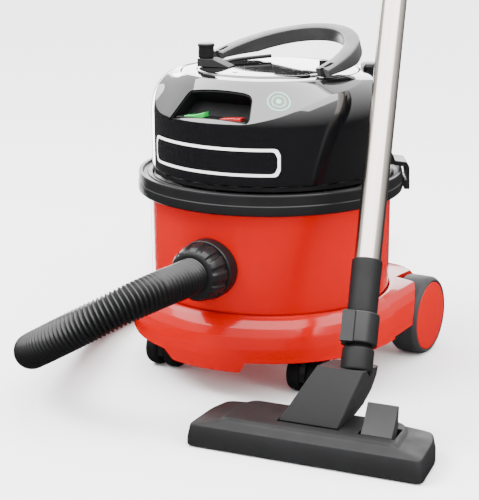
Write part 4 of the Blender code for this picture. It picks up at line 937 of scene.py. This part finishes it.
bore_r = TUBE_R - TUBE_WALL
spigot_r = bore_r - 0.0003
joint_s = -0.0600 + TUBE_LENGTH
top_s = joint_s + TUBE_LENGTH
for node, low, high in (("lower_tube", -0.0600, joint_s),
                        ("upper_tube", joint_s + 0.0013, top_s)):
    replace(on_wand(turned([(TUBE_R, low), (TUBE_R, high - 0.0006), (TUBE_R - 0.0006, high),
                            (spigot_r, high + 0.0010), (spigot_r, high + 0.0300),
                            (spigot_r - 0.0010, high + 0.0300), (spigot_r - 0.0010, high),
                            (bore_r, high - 0.0010), (bore_r, low)], segments=96)), node, STEEL)
BEND_R, BEND_ANGLE, BEND_STEPS, TAIL = 0.0900, math.radians(48.0), 32, 0.0600
bend_start = top_s + 0.0850
bend_path = [(0, 0, top_s + 0.0013), (0, 0, top_s + 0.0400), (0, 0, bend_start)]
for k in range(1, BEND_STEPS + 1):
    turn = BEND_ANGLE * k / BEND_STEPS
    bend_path.append((0, -BEND_R * (1 - math.cos(turn)), bend_start + BEND_R * math.sin(turn)))
tail = Vector((0, -math.sin(BEND_ANGLE), math.cos(BEND_ANGLE)))
bend_path.append(tuple(Vector(bend_path[-1]) + tail * TAIL))
count = len(bend_path)
replace(on_wand(swept(bend_path, [TUBE_R] * count, [bore_r] * count, 96)), "bent_tube", STEEL)
replace(on_wand(turned(soften([(TUBE_R + 0.0004, -0.0140), (0.0190, -0.0140), (0.0200, -0.0120),
                               (0.0200, 0.0120), (0.0190, 0.0140), (TUBE_R + 0.0004, 0.0140)],
                              0.0008, on_axis=False), (0, 0, top_s + 0.0300), segments=144,
                       ripple=lambda a, i: 0.0003 * math.cos(24 * a) if 5 < i < 14 else 0.0)),
        "suction_slider", SATIN, sharp=50.0)


# ---------- floor tool
def tool_ring(front, back, half, corner, height):
    """Plan outline of the floor tool at one height, with rounded corners."""
    outline = [(-half, front), (half, front), (half - 0.0035, back - corner),
               (half - 0.0120, back), (-half + 0.0120, back), (-half + 0.0035, back - corner)]
    return [(x, y, height) for x, y in soften(outline, 0.0090, 5, on_axis=False)]


# front, back, half width, corner and height, from the foot up
SHELL_ROWS = ((0.0006, 0.0924, 0.1444, 0.0300, 0.0020), (0.0, 0.0930, 0.1450, 0.0300, 0.0030),
              (0.0006, 0.0930, 0.1450, 0.0300, 0.0120), (0.0026, 0.0917, 0.1424, 0.0300, 0.0258),
              (0.0036, 0.0912, 0.1412, 0.0300, 0.0276), (0.0060, 0.0900, 0.1382, 0.0290, 0.0287),
              (0.0172, 0.0888, 0.1120, 0.0220, 0.0312), (0.0184, 0.0886, 0.1106, 0.0218, 0.0318),
              (0.0200, 0.0882, 0.1070, 0.0212, 0.0346), (0.0214, 0.0876, 0.1052, 0.0206, 0.0352),
              (0.0280, 0.0860, 0.0960, 0.0180, 0.0354))
shell = replace(on_tool(skin([tool_ring(*row) for row in SHELL_ROWS], cap=True)), "tool_body",
                BODY_GREY, sharp=26)
# hollows for the sole, the neck, the pedal and the two rollers
for size, at in (((0.2600, 0.0660, 0.0180), (0, 0.0460, 0.0090)),
                 ((0.0770, 0.0620, 0.0300), (-0.0045, 0.0660, 0.0240)),
                 ((0.0440, 0.0330, 0.0300), (0.0790, 0.0505, 0.0340)),
                 ((0.0190, 0.0180, 0.0330), (-0.0950, 0.0870, 0.0)),
                 ((0.0190, 0.0180, 0.0330), (0.0950, 0.0870, 0.0))):
    carve(shell, cutter(on_tool(block(size, at))))
SKIRT_TOP = 0.0268
shell.data.materials.append(SKIRT)
for face in shell.data.polygons:
    if face.center.z < SKIRT_TOP and face.normal.z < 0.5:
        face.material_index = 1
for side, label in ((-1, "left"), (1, "right")):
    roller_at = (side * 0.0950, 0.0865, 0.0077)
    replace(on_tool(turned(soften([(0, -0.0125), (0.0018, -0.0125), (0.0018, -0.0088),
                                   (0.0068, -0.0088), (0.0075, -0.0078), (0.0075, 0.0078),
                                   (0.0068, 0.0088), (0.0018, 0.0088), (0.0018, 0.0125),
                                   (0, 0.0125)], 0.0004), roller_at, "X", 48)),
            "tool_roller_" + label, SATIN)


# the hood of the neck: a flat front slab with rounded rear edges, bored for the elbow
TURN_STEPS = 10
# each row is (left, right, front (y, z), back (y, z)) from the pivot up to the elbow
NECK_ROWS = ((-0.0400, 0.0305, (0.0545, 0.0160), (0.0745, 0.0160)),
             (-0.0410, 0.0312, (0.0485, 0.0230), (0.0810, 0.0215)),
             (-0.0415, 0.0318, (0.0395, 0.0355), (0.0950, 0.0300)),
             (-0.0320, 0.0375, (0.0440, 0.0515), (0.1170, 0.0400)),
             (-0.0222, 0.0430, (0.0488, 0.0675), (0.1300, 0.0560)),
             (-0.0125, 0.0490, (0.0546, 0.0840), (0.1290, 0.0750)),
             (-0.0025, 0.0545, (0.0606, 0.1005), (0.1180, 0.0900)))
neck_rings = []
for left, right_edge, (front, front_z), (back, back_z) in NECK_ROWS:
    depth = math.hypot(back - front, back_z - front_z)
    corner = min(0.0070, depth * 0.4)
    points = [(left, 0.0012), (left + 0.0012, 0.0), (right_edge - 0.0012, 0.0),
              (right_edge, 0.0012)]
    for k in range(TURN_STEPS + 1):
        t = 0.5 * math.pi * k / TURN_STEPS
        points.append((right_edge - corner + corner * math.cos(t),
                       depth - corner + corner * math.sin(t)))
    for k in range(TURN_STEPS + 1):
        t = 0.5 * math.pi * k / TURN_STEPS
        points.append((left + corner - corner * math.sin(t),
                       depth - corner + corner * math.cos(t)))
    neck_rings.append([(x, front + (back - front) * d / depth,
                        front_z + (back_z - front_z) * d / depth) for x, d in points])
hood = replace(on_tool(skin(neck_rings, cap=True)), "neck", GREY, sharp=38)
carve(hood, cutter(on_wand(turned([(0, -0.1360), (0.0192, -0.1360), (0.0192, -0.0500),
                                   (0, -0.0500)], segments=96))))
